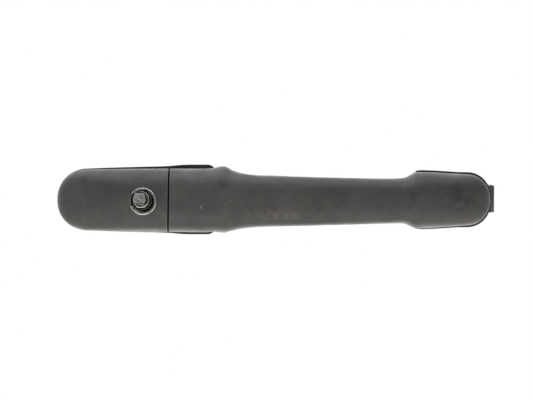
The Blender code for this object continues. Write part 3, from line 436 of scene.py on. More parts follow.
def cut(obj, *others):
    return combine(obj, "DIFFERENCE", others)


def join(obj, *others):
    return combine(obj, "UNION", others)


def box(name, low, high):
    bm = bmesh.new()
    bmesh.ops.create_cube(bm, size=1)
    bmesh.ops.scale(bm, vec=[(b - a) * MM for a, b in zip(low, high)], verts=bm.verts)
    bmesh.ops.translate(bm, vec=[(a + b) / 2 * MM for a, b in zip(low, high)], verts=bm.verts)
    return mesh_object(name, bm)


def rounded_outline(points, radius, closed, steps=3):
    """An outline with its corners rounded. Points on the axis, and gentle bends, stay as they are."""
    tiny, gentle = 1e-6, radians(20)  # sides shorter than this, and bends below this, are left alone
    share = 0.45  # the most of a side that one corner may use
    made = []
    last = len(points) - 1
    for k, corner in enumerate(points):
        before, after = points[k - 1], points[(k + 1) % len(points)]
        if not closed and k in (0, last):
            made.append(tuple(corner))
            continue
        corner, before, after = Vector(corner), Vector(before), Vector(after)
        into, out = (corner - before), (after - corner)
        if into.length < tiny or out.length < tiny or into.angle(out) < gentle:
            made.append(tuple(corner))
            continue
        reach = min(radius, into.length * share, out.length * share)
        a, b = corner - into.normalized() * reach, corner + out.normalized() * reach
        for step in range(steps + 1):
            t = step / steps
            made.append(tuple(a * (1 - t) ** 2 + corner * 2 * t * (1 - t) + b * t * t))
    return made


def grid_object(name, rows, closed_rows):
    """A surface of quads over rings of points, all the same length. Each ring is closed on itself."""
    bm = bmesh.new()
    rings = [[bm.verts.new([c * MM for c in point]) for point in row] for row in rows]
    pairs = [*pairwise(rings), (rings[-1], rings[0])] if closed_rows else pairwise(rings)
    count = len(rows[0])
    for upper, lower in pairs:
        for j in range(count):
            n = (j + 1) % count
            bm.faces.new((upper[j], lower[j], lower[n], upper[n]))
    bmesh.ops.remove_doubles(bm, verts=bm.verts, dist=WELD)
    bmesh.ops.dissolve_degenerate(bm, edges=bm.edges, dist=WELD)
    return mesh_object(name, bm)


def lathe(name, outline, corner=0.15, segments=64):
    """A (radius, height) outline, given down its outer side, turned about Z, with rounded corners."""
    closed = all(r > 0 for r, _ in outline)
    points = rounded_outline(outline, corner, closed)
    rows = [[(r * cos(a), r * sin(a), z) for a in around(segments)] for r, z in points]
    return grid_object(name, rows, closed)


def rod(name, radius, top, bottom, corner=0.15, segments=64):
    """A round rod along Z."""
    return lathe(name, [(0, top), (radius, top), (radius, bottom), (0, bottom)], corner, segments)


def plate(name, outlines, z0, z1, edge):
    """A flat plate in XY between two heights, with rounded edges. Outlines after the first are holes."""
    curve = bpy.data.curves.new(name, "CURVE")
    curve.dimensions = "2D"
    curve.fill_mode = "BOTH"
    curve.extrude = (z1 - z0) / 2 * MM
    for points in outlines:
        spline = curve.splines.new("POLY")
        spline.points.add(len(points) - 1)
        for target, (u, v) in zip(spline.points, points):
            target.co = (u * MM, v * MM, 0, 1)
        spline.use_cyclic_u = True
    obj = add_object(name, curve)
    obj.location.z = (z0 + z1) / 2 * MM
    obj = baked(obj)
    bm = bmesh.new()
    bm.from_mesh(obj.data)
    bmesh.ops.dissolve_limit(bm, angle_limit=radians(0.5), verts=bm.verts, edges=bm.edges)
    bm.to_mesh(obj.data)
    bm.free()
    return baked(add_bevel(obj, edge))


def circle(x, y, radius, count=48, start=0.0, sweep=2 * pi):
    """The points of a circle, or of an arc with both its ends."""
    steps = count if sweep >= 2 * pi else count + 1
    angles = [start + sweep * k / count for k in range(steps)]
    return [(x + radius * cos(a), y + radius * sin(a)) for a in angles]


def rounded(points, radius):
    """A closed outline with finely rounded corners."""
    return rounded_outline(points, radius, closed=True, steps=6)


def rectangle(x0, y0, x1, y1):
    return [(x0, y0), (x1, y0), (x1, y1), (x0, y1)]


def wire(name, points, radius, sides=12):
    """A round wire through points, with round ends."""
    points = [Vector(p) for p in points]
    tangents = [(b - a).normalized() for a, b in pairwise(points)]
    tangents = [tangents[0], *((a + b).normalized() for a, b in pairwise(tangents)), tangents[-1]]
    side = tangents[0].orthogonal().normalized()
    dome = [(sin(a), 1 - cos(a)) for a in (0.0, 0.5, 1.0, pi / 2)]
    rows = []
    for k, (point, along) in enumerate(zip(points, tangents)):
        side = (side - along * side.dot(along)).normalized()
        other = along.cross(side)
        if k == 0:
            rings = [(point + along * radius * lift, radius * share) for share, lift in dome]
        elif k == len(points) - 1:
            rings = [(point - along * radius * lift, radius * share) for share, lift in reversed(dome)]
        else:
            rings = [(point, radius)]
        for centre, size in rings:
            rows.append([centre + (side * cos(a) + other * sin(a)) * size for a in around(sides)])
    return grid_object(name, rows, closed_rows=False)


def placed(obj, matrix):
    """Moves the mesh and not the object, so that its coordinates stay the CAD's."""
    obj.data.transform(matrix)
    return obj


def finish(obj, node, finish_name, angle=38, blend=None):
    """Shades a piece, gives it its material, and puts it in the place of its CAD node."""
    obj.data.shade_smooth()
    obj.data.set_sharp_from_angle(angle=radians(angle))
    obj.data.materials.clear()
    obj.data.materials.append(FINISHES[finish_name])
    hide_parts(node)
    if blend:
        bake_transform(obj)
    else:
        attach(obj, BODY_OF[node])
    return obj


# ---- the skin of the grip and the lock cap ----


def skin_point(x, z, height):
    """A point of the section at x, in metres. The sections near the seam lean as it does."""
    lean = SEAM_LEAN * max(0.0, 1 - abs(x) / LEAN_REACH)
    return Vector((x + lean * z, -height, z + middle(x))) * MM


def superellipse(power, count):
    """Half of a superellipse as (across, up) pairs, from -1 to 1 across."""
    for angle in arc_angles(count):
        across = -abs(cos(angle)) ** (2 / power) * (1 if cos(angle) > 0 else -1)
        yield across, abs(sin(angle)) ** (2 / power)


def front_section(x, power=2.8, count=44):
    """Bottom rim, over the crown, to the top rim, as points of the outer skin."""
    scale = end_round(x)
    half = half_height(x) * scale
    wide, rim = widest(x), rim_height(x)
    rise = (crown(x) - wide) * scale
    foot = half - DRAFT * (wide - rim) * scale
    points = [(-foot, rim), (-(foot + half) / 2, (rim + wide) / 2)]
    points += [(half * across, wide + rise * up) for across, up in superellipse(power, count)]
    points += [((foot + half) / 2, (rim + wide) / 2), (foot, rim)]
    return [skin_point(x, z, height) for z, height in points]


def back_section(x, power=2.5, count=36):
    """The finger side of the grip, from its bottom rim to its top rim, just behind the front skin's rim."""
    start = rim_height(x) - SPLIT_GAP
    half = half_height(x) - DRAFT * (widest(x) - rim_height(x))
    depth = start - back(x)
    return [skin_point(x, half * across, start - depth * up) for across, up in superellipse(power, count)]


def lofted_skin(name, stations, section, wall, outward=1, closed_end=None, edge=SKIN_ROUNDING):
    """A skin through cross-sections, with its wall inside and its rims rounded.

    outward is 1 or -1, whichever makes the faces look out.
    """
    bm = bmesh.new()
    rows = [[bm.verts.new(point) for point in section(x)] for x in stations]
    for near, far in pairwise(rows):
        for k in range(len(near) - 1):
            corners = (near[k], far[k], far[k + 1], near[k + 1])
            bm.faces.new(corners[::outward])
    if closed_end == "first":
        bm.faces.new(rows[0])
    if closed_end == "last":
        bm.faces.new(rows[-1][::-1])
    bmesh.ops.remove_doubles(bm, verts=bm.verts, dist=SKIN_WELD)
    mesh = bpy.data.meshes.new(name)
    bm.to_mesh(mesh)
    bm.free()
    obj = add_object(name, mesh)
    solid = obj.modifiers.new("wall", "SOLIDIFY")
    solid.thickness = wall * MM
    solid.offset = -1
    solid.use_even_offset = True
    solid.use_quality_normals = True
    return baked(add_bevel(obj, edge, angle=48))


REAR_PLATE, FRONT_PLATE = (7.5, 10.5), (5.5, 8.5)  # the frame's two plates, as heights above the door skin
REAR_SCREW_X, FRONT_SCREW_X = 22.0, 161.0
BUFFER_X, BUFFER_Z = 14.0, 9.6
AXIS_OUTWARD = Matrix.Rotation(pi / 2, 4, "X")  # a piece made along Z, now along -Y
AXIS_FORWARD = Matrix.Rotation(pi / 2, 4, "Y")  # a piece made along Z, now along X


def make_grip_cover():
    stations = [
        *spread(SEAM / 2, 25, 15), *spread(26, 42, 22), *spread(44, 122, 44), *spread(123.2, 142, 22),
        *spread(143.8, 164, 11), *round_stations(GRIP_ROUND, GRIP_TIP, 24),
    ]
    cover = lofted_skin("grip_cover_skin", stations, front_section, SKIN_WALL, closed_end="first")
    bosses, pilots = [], []
    for x, deck in ((REAR_SCREW_X, REAR_PLATE[1] + 0.3), (FRONT_SCREW_X, FRONT_PLATE[1] + 0.3)):
        top = crown(x) * end_round(x) - 1.2
        place = Matrix.Translation((x * MM, 0, 0)) @ AXIS_OUTWARD
        bosses.append(placed(rod(f"boss_{x}", 2.8, top, deck), place))
        pilots.append(placed(rod(f"pilot_{x}", 1.3, top - 2.3, deck - 2), place))
    finish(cut(join(cover, *bosses), *pilots), "grip_cover", "grained_plastic", 30)


def make_grip_back():
    stations = spread(32.6, 131.6, 76)
    shell = lofted_skin("grip_back_shell", stations, back_section, BACK_WALL, -1, edge=BACK_ROUNDING)
    finish(shell, "grip_back", "moulded_nylon", 30)


def hole_normal():
    """Outward normal of the cap at the lock's hole."""
    slope = (crown(HOLE_X + 2) - crown(HOLE_X - 2)) / 4
    return Vector((-slope, -1, 0)).normalized()


def hole_place():
    """Puts a piece made along Z on the hole's axis, with Z outward and height 0 on the cap's surface."""
    centre = Vector((HOLE_X, -crown(HOLE_X), 0)) * MM
    return Matrix.Translation(centre) @ hole_normal().to_track_quat("Z", "Y").to_matrix().to_4x4()


CAP_SCREW_X, CAP_SCREW_Y = -55.8, 12.5
LUG_LOW, LUG_HIGH = (-50, -14.3, -5), (-46, 17.5, 5)


def make_lock_cap():
    stations = [*reversed(round_stations(CAP_ROUND, CAP_TIP, 24)), *spread(-43.2, -SEAM / 2, 28)]
    cap = lofted_skin("lock_cap_skin", stations, front_section, SKIN_WALL, closed_end="last")
    lug = baked(add_bevel(box("lug", LUG_LOW, LUG_HIGH), 0.5))
    hole = placed(rod("hole", HOLE_RADIUS, 8, -12, corner=0, segments=96), hole_place())
    lug_x = (LUG_LOW[0] + LUG_HIGH[0]) / 2
    place = Matrix.Translation((lug_x * MM, CAP_SCREW_Y * MM, 0)) @ AXIS_FORWARD
    lug_hole = placed(rod("lug_hole", 2.8, 10, -10, corner=0), place)
    finish(cut(join(cap, lug), hole, lug_hole), "lock_cap", "grained_plastic", 30)


def make_bezel():
    """The bright ring in the cap's hole, rolled over at its lip, with a keyway through its rear side."""
    rim, lip, inner = HOLE_RADIUS + 0.45, HOLE_RADIUS - 0.15, 5.9
    outline = [(7.25, 0.9), (rim, 0.7), (rim, 0.3), (lip, 0.3), (lip, -3.4), (inner, -3.4), (inner, -0.3)]
    bezel = placed(lathe("bright_ring", outline, corner=0.2, segments=128), hole_place())
    bezel = cut(bezel, box("keyway", (HOLE_X - 11, -30, -2.6), (HOLE_X - 4.8, -18, 4.2)))
    finish(bezel, "lock_bezel", "bright_metal")


# ---- gaskets ----


def skin_edge(x):
    """Half the skin's height at x, with the round ends."""
    return half_height(x) * end_round(x)


def skirt(x0, x1, overhang, count):
    """Half of a gasket's outline, its top edge from x0 to x1, following the skin in front of it."""
    return [(x, skin_edge(x) + overhang(x)) for x in spread(x0, x1, count)]


def both_sides(top, lower):
    """The whole outline from its top half. Its bottom half may hang a little lower."""
    return top + [(x, -z - lower) for x, z in reversed(top)]


GASKET = 2.0  # its thickness
REAR_FIXING, FRONT_FIXING = (-38.0, 10.6), (142.6, 0.0)


def make_gasket(node, edge, holes, lower=0.0):
    """A moulded sheet of rubber under a foot, with soft edges."""
    sheet = plate(f"{node}_rubber", [both_sides(edge, lower), *holes], 0, GASKET, 0.45)
    finish(placed(sheet, AXIS_OUTWARD), node, "rubber")


def make_gaskets():
    overhang = profile([
        (-60, 0.2), (-46, 0.35), (-30, 0.5), (-8, 0.85), (0, 1.1), (7, 1.7), (12, 1.85), (26, 1.75),
    ])
    tip = [(x, skin_edge(x) + 0.3) for x in reversed(round_stations(CAP_ROUND, -60.7, 18))]
    edge = tip + skirt(-38, 22, overhang, 40) + [(23.6, 18.9), (24.8, 18.0), (25.5, 16.8)]
    lock = lock_at((-GASKET / 2 - LOCK_POINT.y) / LOCK_AXIS.y)
    holes = [
        circle(lock.x, lock.z, 10.0, 64),
        rounded(rectangle(2.0, -6.4, 19.6, 6.4), 2),
        rounded(rectangle(-51.2, -6, -44.8, 6), 1.5),
        circle(*REAR_FIXING, 4.4),
    ]
    make_gasket("rear_gasket", edge, holes)
    tip = [(x + 0.7, skin_edge(x) + 0.95) for x in round_stations(GRIP_ROUND, 178.2, 18)]
    edge = [(136.8, 14.9), (137.2, 15.6), (138.0, 16.1)] + skirt(141, 161, lambda x: 0.75, 12) + tip
    holes = [rounded(rectangle(147.2, -6, 165.5, 6), 2), circle(*FRONT_FIXING, 3.9)]
    make_gasket("front_gasket", edge, holes, 0.4)


# ---- lock: its sizes run inward along its axis, from the cap's surface ----

SPINDLE_RADIUS, SPINDLE_FACE, SPINDLE_BACK, TANG_HALF = 3.5, -4.6, 49.0, 2.6
COLLAR_RADIUS, SHOULDER = 8.4, 22.2
BARREL_RADIUS, BARREL_GROOVE, SOCKET_BACK, HOUSING_BACK = 7.2, 6.5, 38.0, 42.0
CLIP_GROOVE = 2.7
SPRING_RADIUS, SPRING_WIRE, SPRING_FRONT, SPRING_BACK, SPRING_TURNS = 4.1, 0.42, -0.6, 10.4, 4.93


def lock_at(distance):
    """A point on the lock's axis, this far inward from the cap's surface."""
    return LOCK_POINT + LOCK_AXIS * distance


def on_lock():
    """Puts a piece made along Z on the lock's axis. Its Z runs inward, and its X forward."""
    side = LOCK_AXIS.cross(Vector((0, 0, 1))).normalized()
    axes = Matrix((side, LOCK_AXIS.cross(side), LOCK_AXIS)).transposed().to_4x4()
    return Matrix.Translation(LOCK_POINT * MM) @ axes


def make_lock_housing():
    """The sleeve that the post turns in: a nose, a wide collar, and a barrel with a clip's groove."""
    rear_bore, nose_radius, nose_front, nose_back = SPINDLE_RADIUS + RUNNING, 5.7, 4.4, 11.0
    spring_bore, bore_end = 5.0, 36.5
    groove_front, groove_back = SOCKET_BACK + 0.4, SOCKET_BACK + 1.6
    outline = [
        (BARREL_RADIUS, HOUSING_BACK), (BARREL_RADIUS, groove_back), (BARREL_GROOVE, groove_back),
        (BARREL_GROOVE, groove_front), (BARREL_RADIUS, groove_front), (BARREL_RADIUS, SHOULDER),
        (COLLAR_RADIUS, SHOULDER), (COLLAR_RADIUS, nose_back), (nose_radius, nose_back),
        (nose_radius, nose_front), (spring_bore, nose_front), (spring_bore, bore_end),
        (rear_bore, bore_end), (rear_bore, HOUSING_BACK),
    ]
    sleeve = placed(lathe("lock_sleeve", outline, corner=0.25, segments=96), on_lock())
    finish(sleeve, "lock_housing", "die_cast_zinc")


def make_spindle():
    """The post, with a tang at each end, a groove for its clip and a turning mark on its front face."""
    high, low, radius = HOUSING_BACK + 1.3, HOUSING_BACK + 0.3, SPINDLE_RADIUS
    outline = [
        (0, SPINDLE_BACK), (radius - 0.5, SPINDLE_BACK), (radius, SPINDLE_BACK - 0.5), (radius, high),
        (CLIP_GROOVE, high), (CLIP_GROOVE, low), (radius, low), (radius, SPINDLE_FACE + 0.5),
        (radius - 0.5, SPINDLE_FACE), (0.75, SPINDLE_FACE), (0, SPINDLE_FACE + 0.45),
    ]
    post = lathe("lock_post", outline, segments=96)
    flats = []
    tangs = {"front": (SPINDLE_FACE - 1, 1.5), "rear": (HOUSING_BACK + 1.9, SPINDLE_BACK + 1)}
    for end, (z0, z1) in tangs.items():
        flats.append(box(f"{end}_lower_flat", (-6, -6, z0), (6, -TANG_HALF, z1)))
        flats.append(box(f"{end}_upper_flat", (-6, TANG_HALF, z0), (6, 6, z1)))
    post = baked(add_bevel(cut(post, *flats), 0.12, segments=2, angle=50))
    finish(placed(post, on_lock()), "lock_spindle", "die_cast_zinc")


def make_spindle_spring():
    """A coil spring round the post. In the real lock its front end turns with the post, and its rear end stays
    still.
    """
    steps_a_turn = 40
    count = round(SPRING_TURNS * steps_a_turn)
    points = []
    for k in range(count + 1):
        turn = SPRING_TURNS * k / count
        angle = radians(120) - 2 * pi * turn
        height = SPRING_FRONT + (SPRING_BACK - SPRING_FRONT) * k / count
        radius = SPRING_RADIUS + 0.5 * max(0.0, 1 - turn)  # its first turn stands a little wider
        points.append((radius * cos(angle), radius * sin(angle), height))
    spring = placed(wire("post_spring", points, SPRING_WIRE), on_lock())
    ends = lock_at(SPRING_FRONT) * MM, lock_at(SPRING_BACK) * MM
    finish(spring, "spindle_spring", "plated_steel", blend=("spindle", "base", *ends))


def open_ring(inner, outer, half_gap, centre=(0.0, 0.0)):
    """A retaining ring's outline, with a gap on its +X side and a little thinner beside it."""
    x, y = centre
    sweep = 2 * pi - 2 * half_gap
    shift = (outer - inner) * 0.12
    ends = circle(x - shift, y, outer - shift, 64, half_gap, sweep)
    return ends + circle(x, y, inner, 64, -half_gap, -sweep)


def make_lock_clips():
    sizes = {
        "housing_circlip": (BARREL_GROOVE + 0.2, COLLAR_RADIUS + 0.2, SOCKET_BACK + 0.6, 0.8),
        "spindle_clip": (CLIP_GROOVE + 0.2, 5.2, HOUSING_BACK + 0.45, 0.7),
    }
    for node, (inner, outer, z, thickness) in sizes.items():
        ring = plate(f"{node}_ring", [open_ring(inner, outer, 0.7)], z, z + thickness, 0.1)
        finish(placed(ring, on_lock()), node, "plated_steel")


def make_paddle():
    """The stamped arm at the post's inner end, with a hole for the lock's rod."""
    reach, half, hub, thick = 13.0, 2.6, 5.2, 2.4
    meet = asin(half / hub)
    outline = circle(0, 0, hub, 48, meet - pi, 2 * pi - 2 * meet)
    outline += circle(-reach, 0, half, 24, pi / 2, pi)
    radius = SPINDLE_RADIUS + RUNNING
    flat = asin((TANG_HALF + RUNNING) / radius)
    hole = circle(0, 0, radius, 14, -flat, 2 * flat) + circle(0, 0, radius, 14, pi - flat, 2 * flat)
    rod_hole = circle(-reach, 0, 1.3, 32)
    start = HOUSING_BACK + 2.2
    paddle = plate("stamped_paddle", [outline, hole, rod_hole], start, start + thick, 0.2)
    finish(placed(paddle, on_lock()), "lock_paddle", "plated_steel")


# ---- fasteners ----

# Length, radius, head radius, head height, pitch and thread depth.
GRIP_SCREW = 9.5, 1.15, 2.7, 1.7, 1.0, 0.3
CAP_SCREW = 27, 2.4, 4.4, 2.6, 0.8, 0.4
CARRIER_SCREW = 11.0, 1.7, 3.4, 1.7, 1.3, 0.4


def threaded_screw(node, head, axis, sizes):
    """A pan-head screw with a six-lobe recess and a cut thread.

    head is the point just under its head, and axis points from there down the shank.
    """
    length, radius, head_radius, head_height, pitch, thread = sizes
    angles = around(60)
    floor, mouth = head_height * 0.35, head_radius * 0.40
    lobes, lobe_depth, dome_steps, steps_a_turn = 6, 0.12, 8, 10

    def lobed(size, z):
        return [(size * (1 + lobe_depth * cos(lobes * a)), z) for a in angles]

    def plain(size, z):
        return [(size, z)] * len(angles)

    core = radius - thread
    rows = [plain(0, floor - 0.1), lobed(mouth * 0.86, floor), lobed(mouth, floor + 0.2)]
    rows += [lobed(mouth, head_height - 0.12), lobed(mouth * 1.06, head_height)]
    crown_start = head_radius * 0.62
    for k in range(dome_steps + 1):
        a = pi / 2 * k / dome_steps
        size = crown_start + (head_radius - crown_start) * sin(a)
        rows.append(plain(size, 0.3 + (head_height - 0.3) * cos(a) ** 0.8))
    rows += [plain(head_radius, 0.12), plain(head_radius - 0.12, 0)]
    rows += [plain(radius + 0.05, 0), plain(radius, -0.15)]
    start, end = -0.9, -length + radius * 0.9
    steps = int((start - end) / pitch * steps_a_turn)
    for k in range(steps + 1):
        z = start + (end - start) * k / steps
        fade = min(1.0, k / 6, (steps - k) / 12 + 0.25)  # the thread runs out at both ends
        row = []
        for a in angles:
            phase = (z / pitch + a / (2 * pi)) % 1
            crest = max(0.0, 1 - abs(phase - 0.5) / 0.38)
            row.append((core + thread * (1 if k == 0 else min(1.0, 1.25 * crest) * fade), z))
        rows.append(row)
    rows += [plain(core * 0.8, end - 0.3), plain(radius * 0.4, -length), plain(0, -length)]
    points = [[(r * cos(a), r * sin(a), z) for (r, z), a in zip(row, angles)] for row in rows]
    screw = grid_object(f"{node}_cut", points, closed_rows=False)
    turn = (-Vector(axis)).to_track_quat("Z", "Y").to_matrix().to_4x4()
    finish(placed(screw, Matrix.Translation(Vector(head) * MM) @ turn), node, "plated_steel", 32)


def make_screws():
    for place, x, deck in (("rear", REAR_SCREW_X, REAR_PLATE), ("front", FRONT_SCREW_X, FRONT_PLATE)):
        threaded_screw(f"grip_screw_{place}", (x, RUNNING - deck[0], 0), (0, -1, 0), GRIP_SCREW)
    threaded_screw("cap_screw", (CAP_SCREW_X, CAP_SCREW_Y, 0), (1, 0, 0), CAP_SCREW)
    for place, (x, z) in (("rear", REAR_FIXING), ("front", FRONT_FIXING)):
        threaded_screw(f"carrier_screw_{place}", (x, -0.1, z), (0, 1, 0), CARRIER_SCREW)


def height_range(node):
    """The lowest and the highest Z of a CAD node, in millimetres."""
    low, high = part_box(node)
    return low.z / MM, high.z / MM


def make_pins():
    bottom, top = height_range("hinge_pin")
    outline = [
        (0, top), (2.6, top), (3.2, top - 0.5), (3.2, top - 1), (2.0, top - 1), (2.0, bottom + 0.7),
        (1.4, bottom), (0, bottom),
    ]
    pin = placed(lathe("hinge_axle", outline, corner=0.2), Matrix.Translation(HINGE * MM))
    finish(pin, "hinge_pin", "plated_steel")
    bottom, top = height_range("lever_pin")
    radius, groove = 2.4, 1.8
    outline = [
        (0, top), (3.4, top), (4.2, top - 0.7), (4.2, top - 1.5), (radius, top - 1.5),
        (radius, bottom + 2.2), (groove, bottom + 2.2), (groove, bottom + 1.2), (radius, bottom + 1.2),
        (radius, bottom + 0.5), (radius - 0.5, bottom), (0, bottom),
    ]
    pin = placed(lathe("lever_axle", outline), Matrix.Translation(LEVER * MM))
    finish(pin, "lever_pin", "plated_steel")
    outline = open_ring(2.0, 4.4, 0.75, LEVER[:2])
    ring = plate("lever_clip_ring", [outline], *height_range("lever_clip"), 0.1)
    finish(ring, "lever_clip", "plated_steel")


def make_bush(name, node, centre, wall):
    """A plain bush with rounded ends, as long and as wide as its CAD node."""
    low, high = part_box(node)
    half = (high.z - low.z) / 2 / MM
    outer = (high.x - low.x) / 2 / MM
    inner = outer - wall
    outline = [(outer, half), (outer, -half), (inner, -half), (inner, half)]
    made = placed(lathe(name, outline, corner=0.3), Matrix.Translation(centre * MM))
    finish(made, node, "acetal")


def make_buffer():
    """A mushroom-shaped rubber stop, pushed through the frame's plate."""
    low, seat, top = GASKET + 0.3, REAR_PLATE[0] - 0.15, REAR_PLATE[1] + 0.15
    outline = [
        (0, top + 1.6), (1.4, top + 1.6), (2.9, top), (1.9, top), (1.9, seat), (3.6, seat),
        (3.9, low + 1.2), (2.4, low), (0, low),
    ]
    place = Matrix.Translation(Vector((BUFFER_X, 0, BUFFER_Z)) * MM) @ AXIS_OUTWARD
    stop = placed(lathe("rear_buffer", outline, corner=0.4, segments=48), place)
    finish(stop, "grip_buffer", "rubber")


# ---- the carrier's fittings and the bell crank's ----

BAY_X1, CABLE_Y, CLIP_RADIUS = 67.5, 42.833, 5.0
WEIGHT_RADIUS, WEIGHT_ANGLE, WEIGHT_SIZE, WEB_HALF, SLUG_END = 14.0, radians(8), 5.0, 1.6, 7.4
PULL_ANGLE = radians(8)
# Where the grip's hook meets the crank's finger, and how far that is from the hub.
FINGER_X, FINGER_RADIUS = 13.8, 26.0


def make_cable_clip():
    """A spool in the cable post, open towards the back, that takes the end of the cable's sheath."""
    x0, x1, lip = BAY_X1 - 3.45, BAY_X1 - 0.25, 1.45
    bore, neck, flange = 3.1, CLIP_RADIUS - 1.15, CLIP_RADIUS + 0.6
    outline = [
        (flange, x1 + lip), (flange, x1), (neck, x1), (neck, x0), (flange, x0), (flange, x0 - lip),
        (bore, x0 - lip), (bore, x1 + lip),
    ]
    spool = lathe("sheath_clip", outline, corner=0.25, segments=96)
    placed(spool, Matrix.Translation((0, CABLE_Y * MM, 0)) @ AXIS_FORWARD)
    mouth = box("mouth", (x0 - 4, CABLE_Y, -2.2), (x1 + 4, CABLE_Y + 9, 2.2))
    finish(cut(spool, mouth), "cable_clip", "acetal")


def make_counterweight():
    """Two zinc slugs, one on each side of the crank's arm, held by one rivet with domed heads."""
    centre = LEVER + Vector((cos(WEIGHT_ANGLE), sin(WEIGHT_ANGLE), 0)) * WEIGHT_RADIUS
    place, r = Matrix.Translation(centre * MM), WEIGHT_SIZE
    bore, shank, head_radius = 1.75, 1.55, 2.7
    for side, low, high in (("top", WEB_HALF + 0.3, SLUG_END), ("bottom", -SLUG_END, -WEB_HALF - 0.3)):
        outline = [(r - 0.5, high), (r, high - 0.5), (r, low + 0.5), (r - 0.5, low)]
        outline += [(bore, low), (bore, high)]
        slug = placed(lathe(f"zinc_slug_{side}", outline, corner=0.2), place)
        finish(slug, f"inertia_weight_{side}", "die_cast_zinc")
    end = SLUG_END + RUNNING
    head = [(head_radius * sin(a), end + 0.25 + 0.65 * cos(a)) for a in spread(0, pi / 2, 8)]
    half = [*head, (head_radius, end), (shank, end)]
    outline = half + [(x, -z) for x, z in reversed(half)]
    rivet = placed(lathe("domed_rivet", outline, corner=0.1, segments=48), place)
    finish(rivet, "weight_rivet", "plated_steel")


def make_lever_spring():
    """A torsion spring round the crank's hub.

    Its upper leg stays on the carrier, and its lower leg pushes the crank.
    """
    radius, top, low, wire_radius = 7.0, 7.6, 4.2, 0.45
    leg_foot_y, leg_tilt = 8.2, radians(12.2)
    finger = pi - asin((HINGE.x - FINGER_X) * sin(PULL_ANGLE) / 2 / FINGER_RADIUS)
    leave = finger + pi / 2 - leg_tilt
    sweep = pi - leave + 6 * pi
    count = 190

    def hub_point(angle, z):
        return LEVER + Vector((radius * cos(angle), radius * sin(angle), z))

    start = hub_point(pi, top)
    foot = start + Vector((0, leg_foot_y - LEVER.y, 0))
    points = [foot + (start - foot) * t for t in spread(0, 0.94, 8)]
    points += [hub_point(pi - sweep * k / count, top + (low - top) * k / count) for k in range(count + 1)]
    along = Vector((sin(leave), -cos(leave), 0))
    points += [points[-1] + along * reach for reach in (3, 6, 9, 12, 14.1)]
    corner = points[-1] + along * 0.4
    points += [corner + Vector((0, 0, -0.4)), corner + Vector((0, 0, -2.4))]
    spring = wire("torsion_spring", points, wire_radius)
    ends = (0, 0, top * MM), (0, 0, low * MM)
    finish(spring, "lever_spring", "plated_steel", 60, blend=("base", "crank", *ends))


def make_refined(name, node, finish_name, width):
    """A copy of a CAD node's surface with its sharp edges rounded.

    Edges that meet a short one stay as they are, since the rounding has no room there. Faces with many
    corners are cut into triangles first, because the rounding would fold them over.
    """
    bm = bmesh.new()
    bm.from_mesh(frame["nodes"][node].data)
    bmesh.ops.remove_doubles(bm, verts=bm.verts, dist=CAD_WELD)
    bmesh.ops.dissolve_limit(bm, angle_limit=radians(1), verts=bm.verts, edges=bm.edges)
    room = 2.5 * width * MM
    short = {vertex for edge in bm.edges if edge.calc_length() < room for vertex in edge.verts}
    sharp = [
        edge for edge in bm.edges
        if edge.calc_face_angle(0) > radians(35) and not short.intersection(edge.verts)
    ]
    bmesh.ops.triangulate(bm, faces=[face for face in bm.faces if len(face.verts) > 4])
    bmesh.ops.bevel(
        bm, geom=sharp, offset=width * MM, offset_type="OFFSET", segments=2, profile=0.5,
        affect="EDGES", clamp_overlap=False,
    )
    finish(mesh_object(name, bm), node, finish_name, 32)


make_grip_cover()
make_grip_back()
make_lock_cap()
make_bezel()
make_gaskets()
make_lock_housing()
make_spindle()
make_spindle_spring()
make_lock_clips()
make_paddle()
make_screws()
make_pins()
make_bush("knuckle_bush", "hinge_bush", HINGE, 1.0)
make_bush("crank_bush", "lever_bush", LEVER, 1.1)
make_buffer()
make_cable_clip()
make_counterweight()
make_lever_spring()
make_refined("moulded_carrier", "carrier", "moulded_nylon", 0.22)
make_refined("moulded_grip_frame", "grip_frame", "moulded_nylon", 0.3)
make_refined("moulded_crank", "bell_crank", "moulded_nylon", 0.25)
make_refined("square_nut", "cap_nut", "plated_steel", 0.12)


# ---- floor, light and camera, in metres ----

FLOOR_HALF, FLOOR_Z = 9, -1.5
LIT_POINT = Vector((0.05, 0, 0))  # every lamp points at it


def make_floor():
    """A plain floor that glows a little, so that no side of the object goes black."""
    floor = add_object("floor", bpy.data.meshes.new("floor"))
    bm = bmesh.new()
    bmesh.ops.create_grid(bm, x_segments=1, y_segments=1, size=FLOOR_HALF)
    bm.to_mesh(floor.data)
    bm.free()
    floor.location.z = FLOOR_Z
    made = Finish("pale_floor", (0.86, 0.84, 0.81), 0.7)
    made.paint((0.82, 0.80, 0.77), made.noise(300, 3), 0.4)
    made.shader.inputs["Emission Color"].default_value = (1.0, 0.95, 0.88, 1)
    made.shader.inputs["Emission Strength"].default_value = 0.35
    floor.data.materials.append(made.material)


# The light that comes from each height, from straight down (-1) to straight up (1), and its colour.
LIGHT_FROM = (
    (-1.0, (0.60, 0.57, 0.52)),
    (-0.20, (0.42, 0.40, 0.37)),
    (-0.04, (0.34, 0.33, 0.31)),
    (0.03, (0.13, 0.13, 0.13)),
    (0.12, (0.05, 0.05, 0.05)),
    (0.38, (0.07, 0.07, 0.07)),
    (0.60, (0.52, 0.53, 0.54)),
    (0.80, (0.92, 0.94, 0.96)),
    (1.0, (1.0, 1.0, 1.0)),
)
BACKDROP = 0.05, 0.7  # how far a direction points backward where the backdrop starts, and where it is full
BACKDROP_COLOUR = (0.85, 0.85, 0.85, 1)
FROM_SIDES = 3.4, 1.6  # the light's strength from the rear and from the front of the handle


